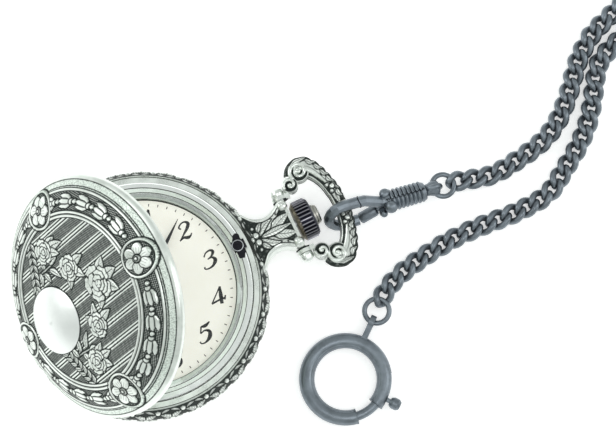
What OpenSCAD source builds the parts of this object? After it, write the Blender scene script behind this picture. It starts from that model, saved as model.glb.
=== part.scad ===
// Hunter-case pocket watch with a curb chain, a swivel clasp and a spring ring.
// Millimetres. +Z is the dial's normal, +X runs to the pendant at 3 o'clock and +Y to 12 o'clock.
// The origin is the centre of the flat land on the case back. The lid is drawn partly open.

/* [Case] */
// Outer radius of the case band
case_r = 24.0; // [23.8:0.1:24.2]
// Height of the stem and pendant axis above the case back
axis_z = 4.65; // [4.6:0.01:4.7]
// Height of the dial's upper face
dial_z = 8.7; // [8.65:0.01:8.75]
// Outer radius of the dial
dial_r = 18.6; // [18.3:0.1:18.6]

/* [Lid] */
// Outer radius of the lid's rim
lid_r = 22.9; // [22.7:0.1:22.9]
// Angle that the lid is drawn open
lid_open = 47.6; // [0:0.1:90]
// Radius of the polished boss on the lid
boss_r = 6.3; // [5.5:0.1:6.5]

/* [Pendant, bow and crown] */
// Radius of the crown over its ribs
crown_r = 4.05; // [3.8:0.05:4.1]
// Number of ribs on the crown
crown_ribs = 32; // [24:1:40]
// Radius of the lid release button
button_r = 2.15; // [1.9:0.05:2.2]
// Inward travel of the lid release button
button_travel = 0.8; // [0.4:0.1:0.8]
// Half thickness of the bow
bow_half_thick = 1.2; // [1.0:0.05:1.3]

/* [Chain, clasp and ring] */
// Width of the curb chain over its links
chain_w = 4.2; // [3.8:0.1:4.4]
// Height of the curb chain as it lies
chain_h = 2.6; // [2.4:0.1:2.8]
// Middle radius of the spring ring
ring_r = 7.5; // [7.2:0.1:7.8]
// Radius of the spring ring's tube
ring_tube_r = 1.5; // [1.4:0.05:1.5]

/* [Hidden] */
$fn = 64;

silver = [0.72, 0.74, 0.71];
bright = [0.85, 0.86, 0.84];
steel = [0.62, 0.64, 0.67];
gunmetal = [0.40, 0.43, 0.47];
brass = [0.78, 0.64, 0.36];
ruby = [0.62, 0.05, 0.16];

run_gap = 0.03;           // running clearance of the small pivots
pivot_r = 0.14;
jewel_r = 0.75;
jewel_h = 0.5;

// Heights of the movement
bridge_low = 2.6;
bridge_high = 3.6;
plate_low = 6.6;
plate_high = dial_z - 0.4;
recess_floor = 7.5;
plate_r = 17.8;
rim_r = 16.3;

// Centres of the wheels
barrel_at = [3.6, -7.6];
third_at = [-5.9, -2.2];
fourth_at = [-7.6, 2.7];
escape_at = [-4.6, 5.9];
pallet_at = [-1.5, 7.6];
balance_at = [2.9, 8.9];
crown_wheel_at = [9.6, -2.2];
minute_wheel_at = [-2.4, 2.4];
click_at = [-1.8, -11.9];
jewelled = [third_at, fourth_at, escape_at, balance_at];

// Lid hinge
hinge_x = -23.45;
hinge_z = 9.1;
knuckle_r = 0.55;
lid_seat = 9.35;

// Screw of the lid catch, and the height of the seat of its head
catch_screw_at = [20.75, 1.75];
catch_screw_seat = 10.1;

// Screws of the movement: bridges to plate, and plate to case
bridge_screw_r = plate_r - 0.75;
bridge_screw_turns = [-60, -10, 72, 100, 150, 205, 250];
case_screw_r = 17.05;
case_screw_turns = [35, 215];

// Stem bore and the cross pin of the button's rod
bore_end = 18.75;
pin_x = 19.9;
pin_r = 0.25;

// Pendant and bow
lug_x = 31.75;
pendant_end = 32.2;
crown_x = [32.6, 36.2];
button_end = 37.4;

// Clasp: the middle of the bow's bar under the hook, and the way the clasp lies
clasp_at = [41.75, -2.6, 4.4];
clasp_turn = -8;
clasp_dip = 5;
hook_lean = -23;
hook_r = 1.1;
loop_r = 3.1;
barrel_front = 8.4;
gate_pivot = [7.6, -0.9];
gate_reach = 3.75;
gate_r = 0.85;

// Spring ring
ring_at = [28.1, -31.2, 1.5];
jump_at = [39.4, -21.9, 1.5];
jump_r = 2.4;
tab_turn = atan2(jump_at[1] - ring_at[1], jump_at[0] - ring_at[0]);
gap_start = -99;
gap_end = -66;
bolt_end = -35;
thumb_turn = -52.6;

// Route of the chain, from the clasp's swivel out and back to the spring ring
chain_route = [
    [65.2, -5.9, 2.0], [71.5, -7.5, 1.35], [78, -7, 1.3], [84, -5.7, 1.3], [88.7, -3.1, 1.3],
    [93, 0.9, 1.3], [97.4, 5.7, 1.3], [102.4, 9.3, 1.3], [108, 11.3, 1.3], [114, 14, 1.3],
    [120, 18.5, 1.3], [126, 24, 1.3], [132, 30, 1.3], [138, 36, 1.3], [144, 41.5, 1.3],
    [151, 45, 1.3], [158, 44, 1.3], [162, 38.5, 1.3], [160.5, 31.5, 1.3], [154.5, 27, 1.3],
    [147.5, 23.5, 1.3], [140.5, 20, 1.3], [133, 16.5, 1.3], [126, 13, 1.3], [119, 9.5, 1.3],
    [112, 6.8, 1.3], [105.5, 5.5, 1.3], [100.7, 3.2, 1.3], [97.5, -1, 1.3], [94, -5.7, 1.3],
    [90, -9.4, 1.3], [85.2, -12.6, 1.3], [79.8, -15.7, 1.3], [73, -16.3, 1.3], [66, -15.8, 1.3],
    [60, -15.6, 1.3], [53.8, -16.1, 1.3], [47.5, -17.2, 1.3], [43.6, -18.6, 1.35], [42, -19.6, 1.4]
];

// ---------- helpers ----------

// A tube of revolution about Z between two heights
module tube(outer, inner, low, high) {
    translate([0, 0, low]) difference() {
        cylinder(r = outer, h = high - low);
        translate([0, 0, -1]) cylinder(r = inner, h = high - low + 2);
    }
}

module disc(r, low, high) {
    translate([0, 0, low]) cylinder(r = r, h = high - low);
}

// Children drawn about +Z are laid along +X at the height of the stem
module along_x() {
    translate([0, 0, axis_z]) rotate([0, 90, 0]) children();
}

// Children drawn with the lid shut are swung open about the hinge
module opened() {
    translate([hinge_x, 0, hinge_z]) rotate([0, -lid_open, 0]) translate([-hinge_x, 0, -hinge_z]) children();
}

module place(p) {
    translate([p[0], p[1], 0]) children();
}

// Outline of a toothed wheel: root, flank and tip of each tooth
function teeth(n, tip, depth) = [
    for (i = [0 : n - 1], q = [[-0.27, 0], [-0.13, 1], [0.13, 1], [0.27, 0]])
        (tip - depth + depth * q[1]) * [cos((i + q[0]) * 360 / n), sin((i + q[0]) * 360 / n)]
];

module gear(n, tip, depth, low, high) {
    translate([0, 0, low]) linear_extrude(height = high - low) polygon(teeth(n, tip, depth));
}

// Windows between the spokes of a wheel
module windows(count, at, r) {
    for (i = [0 : count - 1]) rotate([0, 0, i * 360 / count]) translate([at, 0, 0]) cylinder(r = r, h = 20);
}

// Arbor with a pivot at each end that runs in the jewels
module arbor(r, low, high) {
    disc(r, low + 0.05, high - 0.05);
    disc(pivot_r, low - jewel_h + 0.1, high + jewel_h - 0.1);
}

function unit(v) = v / norm(v);

// Direction of a route at point i
function heading(route, i) =
    unit(route[min(i + 1, len(route) - 1)] - route[max(i - 1, 0)]);

// One ring of points round a route, wide across it and high along Z or the side given
function ring_points(p, t, wide, high, sides, up) =
    let (s = unit(cross(up, t)), u = cross(t, s))
    [for (k = [0 : sides - 1]) p + s * wide * cos(360 * (k + 0.5) / sides) + u * high * sin(360 * (k + 0.5) / sides)];

// Closed tube swept along a route, with a width and a height at each point
module sweep(route, wide, high, sides, up = [0, 0, 1]) {
    n = len(route);
    points = [for (i = [0 : n - 1]) each ring_points(route[i], heading(route, i), wide[i], high[i], sides, up)];
    faces = concat(
        [[for (k = [0 : sides - 1]) k]],
        [for (i = [0 : n - 2], k = [0 : sides - 1])
            let (a = i * sides + k, b = i * sides + (k + 1) % sides) [a, a + sides, b]],
        [for (i = [0 : n - 2], k = [0 : sides - 1])
            let (a = i * sides + k, b = i * sides + (k + 1) % sides) [b, a + sides, b + sides]],
        [[for (k = [sides - 1 : -1 : 0]) (n - 1) * sides + k]]
    );
    polyhedron(points = points, faces = faces, convexity = 6);
}

function same(value, n) = [for (i = [1 : n]) value];

// Smooth value along a list of points, t from 0 to len - 1
function spline(p, t) =
    let (
        i = min(floor(t), len(p) - 2),
        f = t - i,
        a = p[max(i - 1, 0)],
        b = p[i],
        c = p[i + 1],
        d = p[min(i + 2, len(p) - 1)]
    )
    0.5 * ((2 * b) + (c - a) * f + (2 * a - 5 * b + 4 * c - d) * f * f + (3 * b - a - 3 * c + d) * f * f * f);

function smooth(p, per_span) = [for (k = [0 : (len(p) - 1) * per_span]) spline(p, k / per_span)];

// ---------- case ----------

band_profile = [
    [22.5, 9.3], [22.85, 9.1], [23.35, 8.0], [23.8, 6.6], [case_r, 5.3], [case_r, 4.3], [23.8, 3.3],
    [23.2, 2.6], [22.2, 2.2]
];

module case_solid() {
    rotate_extrude($fn = 128) polygon(concat([[0, 2.2], [0, 9.3]], band_profile));
}

module case_middle() color(silver) {
    difference() {
        rotate_extrude($fn = 128) polygon(concat(
            [[18.0, 3.0], [18.0, 8.2], [18.7, 8.2], [18.7, 8.7], [21.2, 8.7], [21.2, 9.3]],
            band_profile,
            [[21.0, 2.2], [21.0, 3.0]]
        ));
        // room for the lift spring and the lid catch
        tube(20.4, 17, 3.8, 7.6);
        along_x() disc(2.1, 17, 20.4);
        along_x() disc(1.0, 20, 26);
        translate([19.3, -1.1, 6.6]) cube([1.75, 2.2, 4]);
        translate([-22.0, -1.1, 4.1]) cube([3, 2.2, 6]);
        place(catch_screw_at) disc(0.25, 8, 10);
    }
    // hinge knuckles
    for (side = [-1, 1]) hinge_knuckle(side * 2.8, 1.2, 0.25);
}

// A hinge knuckle with its foot on the band, centred at y
module hinge_knuckle(y, half, bore) {
    translate([0, y, 0]) difference() {
        union() {
            translate([hinge_x, half, hinge_z]) rotate([90, 0, 0]) cylinder(r = knuckle_r, h = 2 * half);
            difference() {
                translate([hinge_x - 0.4, -half, hinge_z - 1.4]) cube([1.6, 2 * half, 1.35]);
                translate([0, -y, 0]) case_solid();
            }
        }
        translate([hinge_x, half + 1, hinge_z]) rotate([90, 0, 0]) cylinder(r = bore, h = 2 * half + 2);
    }
}

module lid_hinge_pin() color(steel)
    translate([hinge_x, 4, hinge_z]) rotate([90, 0, 0]) cylinder(r = 0.25, h = 8);

module back_cover() color(silver)
    rotate_extrude($fn = 128) polygon([
        [0, 0], [9, 0], [12, 0.2], [15, 0.6], [18, 1.15], [20.5, 1.7], [22.2, 2.2],
        [20.95, 2.2], [20.95, 2.95], [20.45, 2.95], [20.2, 2.25], [18, 1.75], [15, 1.2], [12, 0.8], [9, 0.6], [0, 0.6]
    ]);

module bezel() color(bright)
    difference() {
        rotate_extrude($fn = 128) polygon([
            [18.8, 8.7], [21.2, 8.7], [21.2, 10.15], [20.95, 10.4], [20.2, 10.45], [20.05, 10.3],
            [19.2, 10.05], [19.2, 9.9], [18.8, 9.9]
        ]);
        translate([19.3, -1.1, 8]) cube([3, 2.2, 4]);
        place(catch_screw_at) {
            disc(0.25, 8, 12);
            disc(0.65, catch_screw_seat, 12);
        }
    }

module rehaut_ring() color([0.25, 0.26, 0.25])
    tube(18.8, 18.2, 8.7, 9.9);

// A low dome: the upper face falls with the square of the radius
module crystal() color([0.9, 0.95, 1, 0.25])
    rotate_extrude($fn = 128) polygon(concat(
        [[0, 9.9], [19.2, 9.9]],
        [for (r = [19.2 : -2.4 : 0]) [r, 10.85 - 0.85 * pow(r / 19.2, 2)]]
    ));

module lift_spring() color(steel) {
    rotate([0, 0, 130]) rotate_extrude(angle = 100) translate([19.2, 4.3]) square([0.5, 2.2]);
    difference() {
        translate([-21.9, -0.9, 4.3]) cube([2.75, 1.8, 2.2]);
        disc(19.65, 4, 7);
    }
    translate([-21.9, -0.9, 6.5]) cube([0.5, 1.8, 2.7]);
}

module catch_screw() color([0.08, 0.08, 0.09])
    place(catch_screw_at) {
        disc(0.25, 8.8, catch_screw_seat);
        difference() {
            disc(0.6, catch_screw_seat, catch_screw_seat + 0.3);
            translate([-1, -0.08, catch_screw_seat + 0.15]) cube([2, 0.16, 1]);
        }
    }

module lid_catch() color([0.08, 0.08, 0.09]) {
    difference() {
        rotate([0, 0, -32]) rotate_extrude(angle = 64) translate([19.0, 3.9]) square([0.5, 3.5]);
        along_x() disc(1.25, 17, 22);
    }
    difference() {
        translate([19.2, -0.9, 6.7]) cube([1.7, 1.8, 0.7]);
        disc(19.45, 6, 8);
    }
    translate([20.3, -0.9, 7.4]) cube([0.6, 1.8, 2.8]);
    translate([20.9, -0.9, 9.85]) cube([0.9, 1.8, 0.35]);
}

// ---------- lid ----------

lid_profile = [
    [22.9, 0], [22.9, 0.6], [22.6, 1.05], [22.0, 1.5], [20.7, 2.45], [19.5, 3.2], [18.2, 3.8], [16.7, 4.2],
    [13, 4.5], [7, 4.75], [0, 4.85]
];
lid_outside = [for (p = lid_profile) [p[0] * lid_r / 22.9, p[1]]];

module front_lid() color(silver) opened() {
    difference() {
        translate([0, 0, lid_seat]) rotate_extrude($fn = 128) polygon(concat(
            lid_outside,
            [[0, 4.35], [7, 4.25], [13, 4.0], [16.5, 3.7], [17.9, 3.35], [19.2, 2.75], [20.4, 2.0], [21.6, 1.05],
             [22.3, 0.65], [22.4, 0.4], [22.0, 0.4], [22.0, 0]]
        ));
        // room for the case's own knuckles
        for (side = [-1, 1]) translate([hinge_x - 1, side * 2.8 - 1.3, hinge_z - 1]) cube([1.75, 2.6, 1.6]);
    }
    lid_knuckle();
}

module lid_knuckle() {
    difference() {
        union() {
            translate([hinge_x, 1.5, hinge_z]) rotate([90, 0, 0]) cylinder(r = knuckle_r, h = 3);
            difference() {
                translate([hinge_x - 0.4, -1.5, hinge_z]) cube([1.1, 3, 0.9]);
                disc(22.85, 0, 20);
            }
        }
        translate([hinge_x, 3, hinge_z]) rotate([90, 0, 0]) cylinder(r = 0.25 + run_gap, h = 6);
    }
}

// A domed disc seated on the lid, level so that it stands proud of it all round
boss_at = [-7.5, -0.5];
boss_edge = 4.94;
boss_rise = 1.4;
boss_sphere = (boss_r * boss_r + boss_rise * boss_rise) / (2 * boss_rise);

module lid_boss() color(bright) opened() translate([0, 0, lid_seat]) difference() {
    place(boss_at) intersection() {
        cylinder(r = boss_r, h = 8);
        translate([0, 0, boss_edge + boss_rise - boss_sphere]) sphere(r = boss_sphere, $fn = 128);
    }
    rotate_extrude($fn = 128) polygon(concat([[0, 0]], lid_outside));
}

// ---------- dial and hands ----------

module dial() color([0.93, 0.91, 0.80])
    tube(dial_r, 1.3, plate_high, dial_z);

module hour_hand() color([0.03, 0.03, 0.04])
    rotate([0, 0, 146]) difference() {
        union() {
            disc(1.8, 9.0, 9.15);
            translate([0, 0, 9.0]) linear_extrude(height = 0.15)
                polygon([
                    [1, -0.45], [7, -0.7], [8.2, -1.1], [9.4, -0.6], [11, 0], [9.4, 0.6], [8.2, 1.1], [7, 0.7], [1, 0.45]
                ]);
        }
        disc(1.15, 8, 10);
    }

module minute_hand() color([0.03, 0.03, 0.04])
    rotate([0, 0, 39]) difference() {
        union() {
            disc(1.4, 9.4, 9.55);
            translate([0, 0, 9.4]) linear_extrude(height = 0.15)
                polygon([[1, -0.24], [9, -0.30], [11.2, -0.32], [15.7, -0.05], [15.7, 0.05], [11.2, 0.32], [9, 0.30], [1, 0.24]]);
        }
        disc(0.8, 8, 10);
    }

module cannon_pinion() color(steel)
    difference() {
        union() {
            gear(12, 0.82, 0.2, recess_floor + 0.05, 7.9);
            disc(0.8, 7.9, 9.6);
        }
        disc(0.47, 7, 10);
    }

module hour_wheel() color(brass)
    difference() {
        union() {
            gear(40, 2.68, 0.25, 7.97, 8.17);
            disc(1.15, 8.17, 9.15);
        }
        disc(0.85, 7, 10);
    }

module minute_wheel() color(brass)
    place(minute_wheel_at) difference() {
        union() {
            gear(36, 2.5, 0.25, recess_floor + 0.05, 7.85);
            gear(10, 0.64, 0.2, 7.85, 8.2);
        }
        disc(0.33, 7, 9);
    }

// ---------- movement ----------

module at_bridge_screws() {
    for (a = bridge_screw_turns) rotate([0, 0, a]) translate([bridge_screw_r, 0, 0]) children();
}

module at_case_screws() {
    for (a = case_screw_turns) rotate([0, 0, a]) translate([case_screw_r, 0, 0]) children();
}

module main_plate() color(brass) {
    difference() {
        union() {
            disc(plate_r, plate_low, plate_high);
            disc(18.6, 8.2, plate_high);
            tube(plate_r, rim_r, bridge_high, plate_low);
        }
        disc(6.4, recess_floor, 9);
        disc(0.47, 6, 9);
        along_x() disc(0.7, 15, 19);
        place(barrel_at) disc(0.6 + run_gap, 6, 7.2);
        for (p = concat(jewelled, [pallet_at])) place(p) disc(jewel_r, 6, plate_low + jewel_h);
        at_case_screws() disc(0.4, 3, 5);
        at_bridge_screws() disc(0.3, 3, 4.6);
    }
    place(minute_wheel_at) disc(0.3, recess_floor, 8.2);
}

// A bridge cut from the full disc by an outline
module bridge(outline) {
    difference() {
        intersection() {
            disc(plate_r, bridge_low, bridge_high);
            linear_extrude(height = 9) polygon(outline);
        }
        at_case_screws() disc(1.1, 2, 4);
        at_bridge_screws() {
            disc(0.3, 2, 4);
            disc(0.65, 2, 2.95);
        }
    }
}

module barrel_bridge() color(brass) {
    difference() {
        bridge([[-2.5, -18], [18, -18], [18, 2.2], [3.2, 2.2], [1.9, -1.4], [-2.5, -3.3]]);
        place(barrel_at) disc(0.6 + run_gap, 2, 4);
        place(crown_wheel_at) disc(4.0, 2, 3.07);
        translate([12, -1.9, 2]) cube([2, 3.8, 3]);
        place(click_at) disc(0.35, 2, 3.2);
    }
    place(crown_wheel_at) disc(0.7, 2.1, 3.1);
}

module train_bridge() color(brass)
    difference() {
        bridge([
            [-18, -18], [-2.7, -18], [-2.7, -3.1], [1.6, -1.2], [1.6, 3], [-2.6, 4.4], [-2.6, 9], [-6, 18], [-18, 18]
        ]);
        disc(0.3 + run_gap, 2, 4);
        for (p = [third_at, fourth_at, escape_at]) place(p) disc(jewel_r, bridge_high - jewel_h, 5);
    }

module balance_cock() color(brass)
    difference() {
        bridge([[1.7, 7.6], [4.1, 7.6], [6.6, 10.5], [12, 18], [2, 18], [1.2, 10.5]]);
        place(balance_at) disc(jewel_r, bridge_high - jewel_h, 5);
    }

module pallet_cock() color(brass)
    difference() {
        union() {
            place(pallet_at) disc(1.2, 5.2, 5.7);
            place([-3.4, 12.2]) disc(1.2, 5.2, plate_low);
            translate([pallet_at[0], pallet_at[1], 5.2]) rotate([0, 0, 112.4])
                translate([0, -0.8, 0]) cube([4.98, 1.6, 0.5]);
        }
        place(pallet_at) disc(jewel_r, 5.2, 5.8);
    }

module jewel(low) {
    tube(jewel_r, pivot_r + run_gap, low, low + jewel_h);
}

module jewels() color(ruby) {
    for (p = jewelled) place(p) {
        jewel(bridge_high - jewel_h);
        jewel(plate_low);
    }
    place(pallet_at) {
        jewel(5.2);
        jewel(plate_low);
    }
}

module bridge_screws() color([0.15, 0.2, 0.45])
    at_bridge_screws() {
        disc(0.3, 2.95, 4.5);
        difference() {
            disc(0.6, 2.45, 2.95);
            translate([-1, -0.08, 2.3]) cube([2, 0.16, 0.3]);
        }
    }

module case_screws() color(steel)
    at_case_screws() {
        disc(0.4, 3.6, 4.9);
        disc(0.6, 3.0, 3.6);
        difference() {
            disc(1.0, 2.6, 3.0);
            translate([-2, -0.1, 2.5]) cube([4, 0.2, 0.3]);
        }
    }

module mainspring_barrel() color(brass)
    place(barrel_at) difference() {
        union() {
            disc(6.9, 3.8, 5.0);
            gear(72, 7.4, 0.35, 5.0, 5.5);
        }
        disc(6.4, 4.1, 5.2);
        disc(0.8 + run_gap, 3, 7);
    }

// Flat spiral strip between two radii
module spiral(inner, outer, turns, thick, low, high) {
    steps = turns * 24;
    middle = [for (i = [0 : steps]) let (r = inner + (outer - inner) * i / steps, a = i * 15) [r, a]];
    outline = concat(
        [for (m = middle) (m[0] - thick / 2) * [cos(m[1]), sin(m[1])]],
        [for (i = [steps : -1 : 0]) (middle[i][0] + thick / 2) * [cos(middle[i][1]), sin(middle[i][1])]]
    );
    translate([0, 0, low]) linear_extrude(height = high - low) polygon(outline);
}

module mainspring() color(steel)
    place(barrel_at) spiral(2.2, 6.1, 7, 0.2, 4.2, 5.1);

module barrel_arbor() color(steel)
    place(barrel_at) {
        disc(0.8, 3.65, 6.55);
        disc(1.6, 4.15, 5.15);
        disc(0.6, 2.0, 7.1);
    }

module ratchet_wheel() color(steel)
    place(barrel_at) difference() {
        gear(36, 4.24, 0.3, 2.05, 2.5);
        disc(0.6, 1, 4);
    }

module crown_wheel() color(steel)
    place(crown_wheel_at) difference() {
        gear(32, 3.77, 0.3, 2.05, 3.0);
        disc(0.7 + run_gap, 1, 4);
    }

module click() color(steel)
    place(click_at) {
        disc(0.3, 2.5, 3.15);
        disc(0.7, 2.05, 2.5);
        rotate([0, 0, 40]) translate([0, -0.3, 2.05]) cube([2.4, 0.6, 0.45]);
    }

module centre_wheel() color(brass) {
    difference() {
        gear(64, 5.6, 0.3, 6.3, 6.45);
        windows(5, 3.2, 1.35);
    }
    disc(0.4, 3.65, 6.55);
    disc(0.44, 6.45, 9.5);
    disc(0.3, 3.0, 3.7);
    gear(10, 0.95, 0.25, 4.9, 5.6);
}

module third_wheel() color(brass)
    place(third_at) {
        difference() {
            gear(60, 4.6, 0.28, 5.62, 5.77);
            windows(5, 2.6, 1.1);
        }
        gear(8, 0.64, 0.2, 6.0, 6.5);
        arbor(0.3, bridge_high, plate_low);
    }

module fourth_wheel() color(brass)
    place(fourth_at) {
        difference() {
            gear(70, 3.86, 0.22, 4.7, 4.85);
            windows(5, 2.2, 0.95);
        }
        gear(8, 0.54, 0.16, 5.4, 5.9);
        arbor(0.28, bridge_high, plate_low);
    }

// Pointed, swept-back escape teeth
function escape_outline(n, tip, root) = [
    for (i = [0 : n - 1], q = [[0, tip], [0.12, tip], [0.3, root], [0.85, root]])
        q[1] * [cos((i + q[0]) * 360 / n), sin((i + q[0]) * 360 / n)]
];

module escape_wheel() color(steel)
    place(escape_at) {
        translate([0, 0, 5.85]) linear_extrude(height = 0.2) difference() {
            polygon(escape_outline(15, 2.4, 1.85));
            for (i = [0 : 3]) rotate(i * 90) translate([1.05, 0]) circle(r = 0.45);
        }
        gear(7, 0.45, 0.12, 4.5, 5.0);
        arbor(0.25, bridge_high, plate_low);
    }

module pallet_fork() color(steel)
    place(pallet_at) {
        translate([0, 0, 5.85]) linear_extrude(height = 0.2) {
            rotate(16.5) translate([0, -0.2]) square([3.2, 0.4]);
            for (side = [-1, 1]) rotate(208.7 + side * 50) translate([0, -0.25]) square([1.9, 0.5]);
            circle(r = 0.5);
        }
        disc(0.22, 5.75, 6.55);
        disc(pivot_r, 5.3, 7.0);
    }

module balance_wheel() color(brass)
    place(balance_at) {
        tube(4.9, 4.3, 4.2, 4.75);
        rotate([0, 0, 50]) translate([-4.35, -0.35, 4.35]) cube([8.7, 0.7, 0.25]);
        disc(0.7, 5.75, 5.95);
        arbor(0.3, bridge_high, plate_low);
    }

module hairspring() color([0.2, 0.28, 0.5])
    place(balance_at) spiral(0.6, 3.1, 7, 0.07, 3.8, 4.0);

// ---------- winding and lid release ----------

module stem() color(steel) {
    along_x() {
        disc(0.6, 11.8, 18.5);
        difference() {
            disc(0.9, 18.5, 33.6);
            disc(0.5, bore_end, 40);
            translate([-3, -pin_r - run_gap, pin_x - pin_r - run_gap - button_travel])
                cube([6, 2 * (pin_r + run_gap), button_travel + 2 * (pin_r + run_gap)]);
        }
    }
}

module winding_pinion() color(steel)
    along_x() difference() {
        gear(14, 1.58, 0.3, 12.3, 13.7);
        disc(0.6, 10, 20);
    }

module crown() color([0.2, 0.2, 0.22])
    along_x() difference() {
        intersection() {
            gear(crown_ribs, crown_r, 0.35, crown_x[0], crown_x[1]);
            rotate_extrude() polygon([
                [0, crown_x[0]], [3.2, crown_x[0]], [crown_r, 33.3],
                [crown_r, 35.6], [3.5, crown_x[1]], [0, crown_x[1]]
            ]);
        }
        disc(0.9, 32, 34);
        disc(1.35, 33.6, 36);
        disc(2.25, 35.1, 37);
    }

module crown_button() color(steel)
    along_x() {
        rotate_extrude() polygon([
            [0, 35.92], [button_r, 35.92], [button_r, 36.6], [1.9, 36.8],
            [1.9, 37.1], [1.6, button_end], [0, button_end]
        ]);
        disc(0.45, bore_end + 0.05 + button_travel, 36);
        translate([-1.9, 0, pin_x]) rotate([0, 90, 0]) cylinder(r = pin_r, h = 3.8);
    }

module button_spring() color(steel) {
    turns = 3.5;
    steps = turns * 16;
    route = [for (i = [0 : steps])
        [33.85 + 1.0 * i / steps, 0.95 * cos(360 * i / 16), axis_z + 0.95 * sin(360 * i / 16)]];
    sweep(route, same(0.13, steps + 1), same(0.13, steps + 1), 6, [1, 0, 0]);
}

module pendant_sleeve() color(steel)
    along_x() tube(1.6, 0.97, 24.2, pendant_end);

// Plan and side outlines of the pendant
pendant_plan = smooth([[22.4, 6.9], [23.6, 5.6], [25, 4.1], [26.8, 3.4], [28.6, 3.6], [30.2, 4.5], [31, 5.0]], 4);
pendant_side = smooth([[22.4, 3.0], [24.5, 2.5], [27.5, 2.3], [30, 2.6], [31, 2.8]], 4);

function mirrored(outline, end) = concat(
    outline, [[end, outline[len(outline) - 1][1]]],
    [[end, -outline[len(outline) - 1][1]]],
    [for (i = [len(outline) - 1 : -1 : 0]) [outline[i][0], -outline[i][1]]]
);

module pendant() color(silver)
    difference() {
        intersection() {
            linear_extrude(height = 20) polygon(mirrored(pendant_plan, pendant_end));
            translate([0, 10, axis_z]) rotate([90, 0, 0]) linear_extrude(height = 20)
                polygon(mirrored(pendant_side, pendant_end));
        }
        case_solid();
        along_x() disc(1.6, 20, 40);
        for (side = [-1, 1]) translate([lug_x, side * 3.2, axis_z]) rotate([-side * 90, 0, 0]) cylinder(r = 0.6, h = 4);
    }

module bow_screws() color(silver)
    for (side = [-1, 1]) translate([lug_x, 0, axis_z]) rotate([-side * 90, 0, 0]) {
        disc(0.6, 3.2, 6.15);
        rotate_extrude() polygon([[0, 6.15], [1.25, 6.15], [1.35, 6.7], [1.15, 7.4], [0.7, 7.8], [0, 7.9]]);
    }

// ---------- bow ----------

// Half of the bow's middle line from the lug to the crown of the arch: x, y, half width
bow_half = [
    [33.8, 5.9, 0.7], [34.4, 6.8, 1.2], [35.3, 7.6, 1.45], [36.6, 9.3, 1.8], [38.3, 9.6, 1.9], [40, 7.9, 1.7],
    [41.2, 5.2, 1.4], [41.8, 2.6, 1.4], [42, 0, 1.4]
];
bow_other_half = [for (i = [len(bow_half) - 2 : -1 : 0]) [bow_half[i][0], -bow_half[i][1], bow_half[i][2]]];
bow_line = smooth(concat(bow_half, bow_other_half), 3);

module bow() color(silver) {
    sweep([for (p = bow_line) [p[0], p[1], axis_z - 0.25 * (p[0] - lug_x) / 10]],
        [for (p = bow_line) p[2]], same(bow_half_thick, len(bow_line)), 12);
    for (side = [-1, 1]) difference() {
        union() {
            translate([lug_x, side * 5.1, axis_z]) rotate([-side * 90, 0, 0]) cylinder(r = 1.5, h = 0.95);
            translate([lug_x, side * 5.575 - 0.475, axis_z - 1.0]) cube([2.1, 0.95, 2.0]);
        }
        translate([lug_x, side * 4, axis_z]) rotate([-side * 90, 0, 0]) cylinder(r = 0.65, h = 4);
    }
}

// ---------- clasp ----------

// Children drawn along +X from the bow's bar are laid the way the clasp lies
module clasped() {
    translate(clasp_at) rotate([0, 0, clasp_turn]) rotate([0, clasp_dip, 0]) rotate([hook_lean, 0, 0]) children();
}

hook_line = concat(
    [[barrel_front, 0, 0.75], [7.6, 0, 0.75], [6.9, 0, 1.15], [5.8, 0, 1.85]],
    [[4.2, 0, loop_r - 0.25], [2.4, 0, loop_r - 0.03]],
    [for (a = [90 : 20 : 270]) [loop_r * cos(a), 0, loop_r * sin(a)]],
    [[1.5, 0, -loop_r], [2.9, 0, 0.1 - loop_r]]
);

module clasp_hook() color(gunmetal) clasped()
    sweep(hook_line, same(hook_r, len(hook_line)), same(hook_r, len(hook_line)), 10, [0, 1, 0]);

module clasp_barrel() color(gunmetal) clasped()
    difference() {
        union() {
            rotate([0, 90, 0]) rotate_extrude() polygon(concat(
                [[0, barrel_front], [1.9, barrel_front], [2.05, 9.2]],
                [for (i = [0 : 7]) each [[2.05, 9.3 + i * 0.85], [1.8, 9.6 + i * 0.85], [2.05, 9.9 + i * 0.85]]],
                [[1.7, 16.6], [0, 16.6]]
            ));
            for (side = [-1, 1]) translate([6.9, side * 1.15 - 0.35, -1.7]) cube([barrel_front - 6.9, 0.7, 1.6]);
        }
        rotate([0, 90, 0]) disc(1.25, 13.4, 15.2);
        rotate([0, 90, 0]) disc(0.75, 15, 17);
        translate([gate_pivot[0], 5, gate_pivot[1]]) rotate([90, 0, 0]) cylinder(r = 0.35, h = 10);
    }

module gate_pin() color(gunmetal) clasped()
    translate([gate_pivot[0], 0, gate_pivot[1]]) rotate([90, 0, 0]) {
        disc(0.35, -1.5, 1.5);
        for (side = [-1, 1]) intersection() {
            translate([0, 0, side * 1.75]) sphere(r = 0.75);
            translate([0, 0, side * 2.5]) cube([4, 4, 2], center = true);
        }
    }

module clasp_gate() color(gunmetal) clasped()
    translate([gate_pivot[0], 0, gate_pivot[1]]) rotate([0, -24, 0]) difference() {
        union() {
            translate([0, 0.7, 0]) rotate([90, 0, 0]) cylinder(r = 0.55, h = 1.4);
            translate([-2, 0, 0]) rotate([0, 90, 0]) cylinder(r = 0.55, h = 1.7);
            translate([-gate_reach, 0, 0]) rotate([0, 90, 0]) cylinder(r = gate_r, h = gate_reach - 1.4);
            translate([-1.4, 0, 0]) rotate([0, 90, 0]) cylinder(r1 = gate_r, r2 = 0.55, h = 0.4);
            translate([-gate_reach, 0, 0]) sphere(r = gate_r);
        }
        translate([0, 2, 0]) rotate([90, 0, 0]) cylinder(r = 0.35 + run_gap, h = 4);
    }

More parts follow.
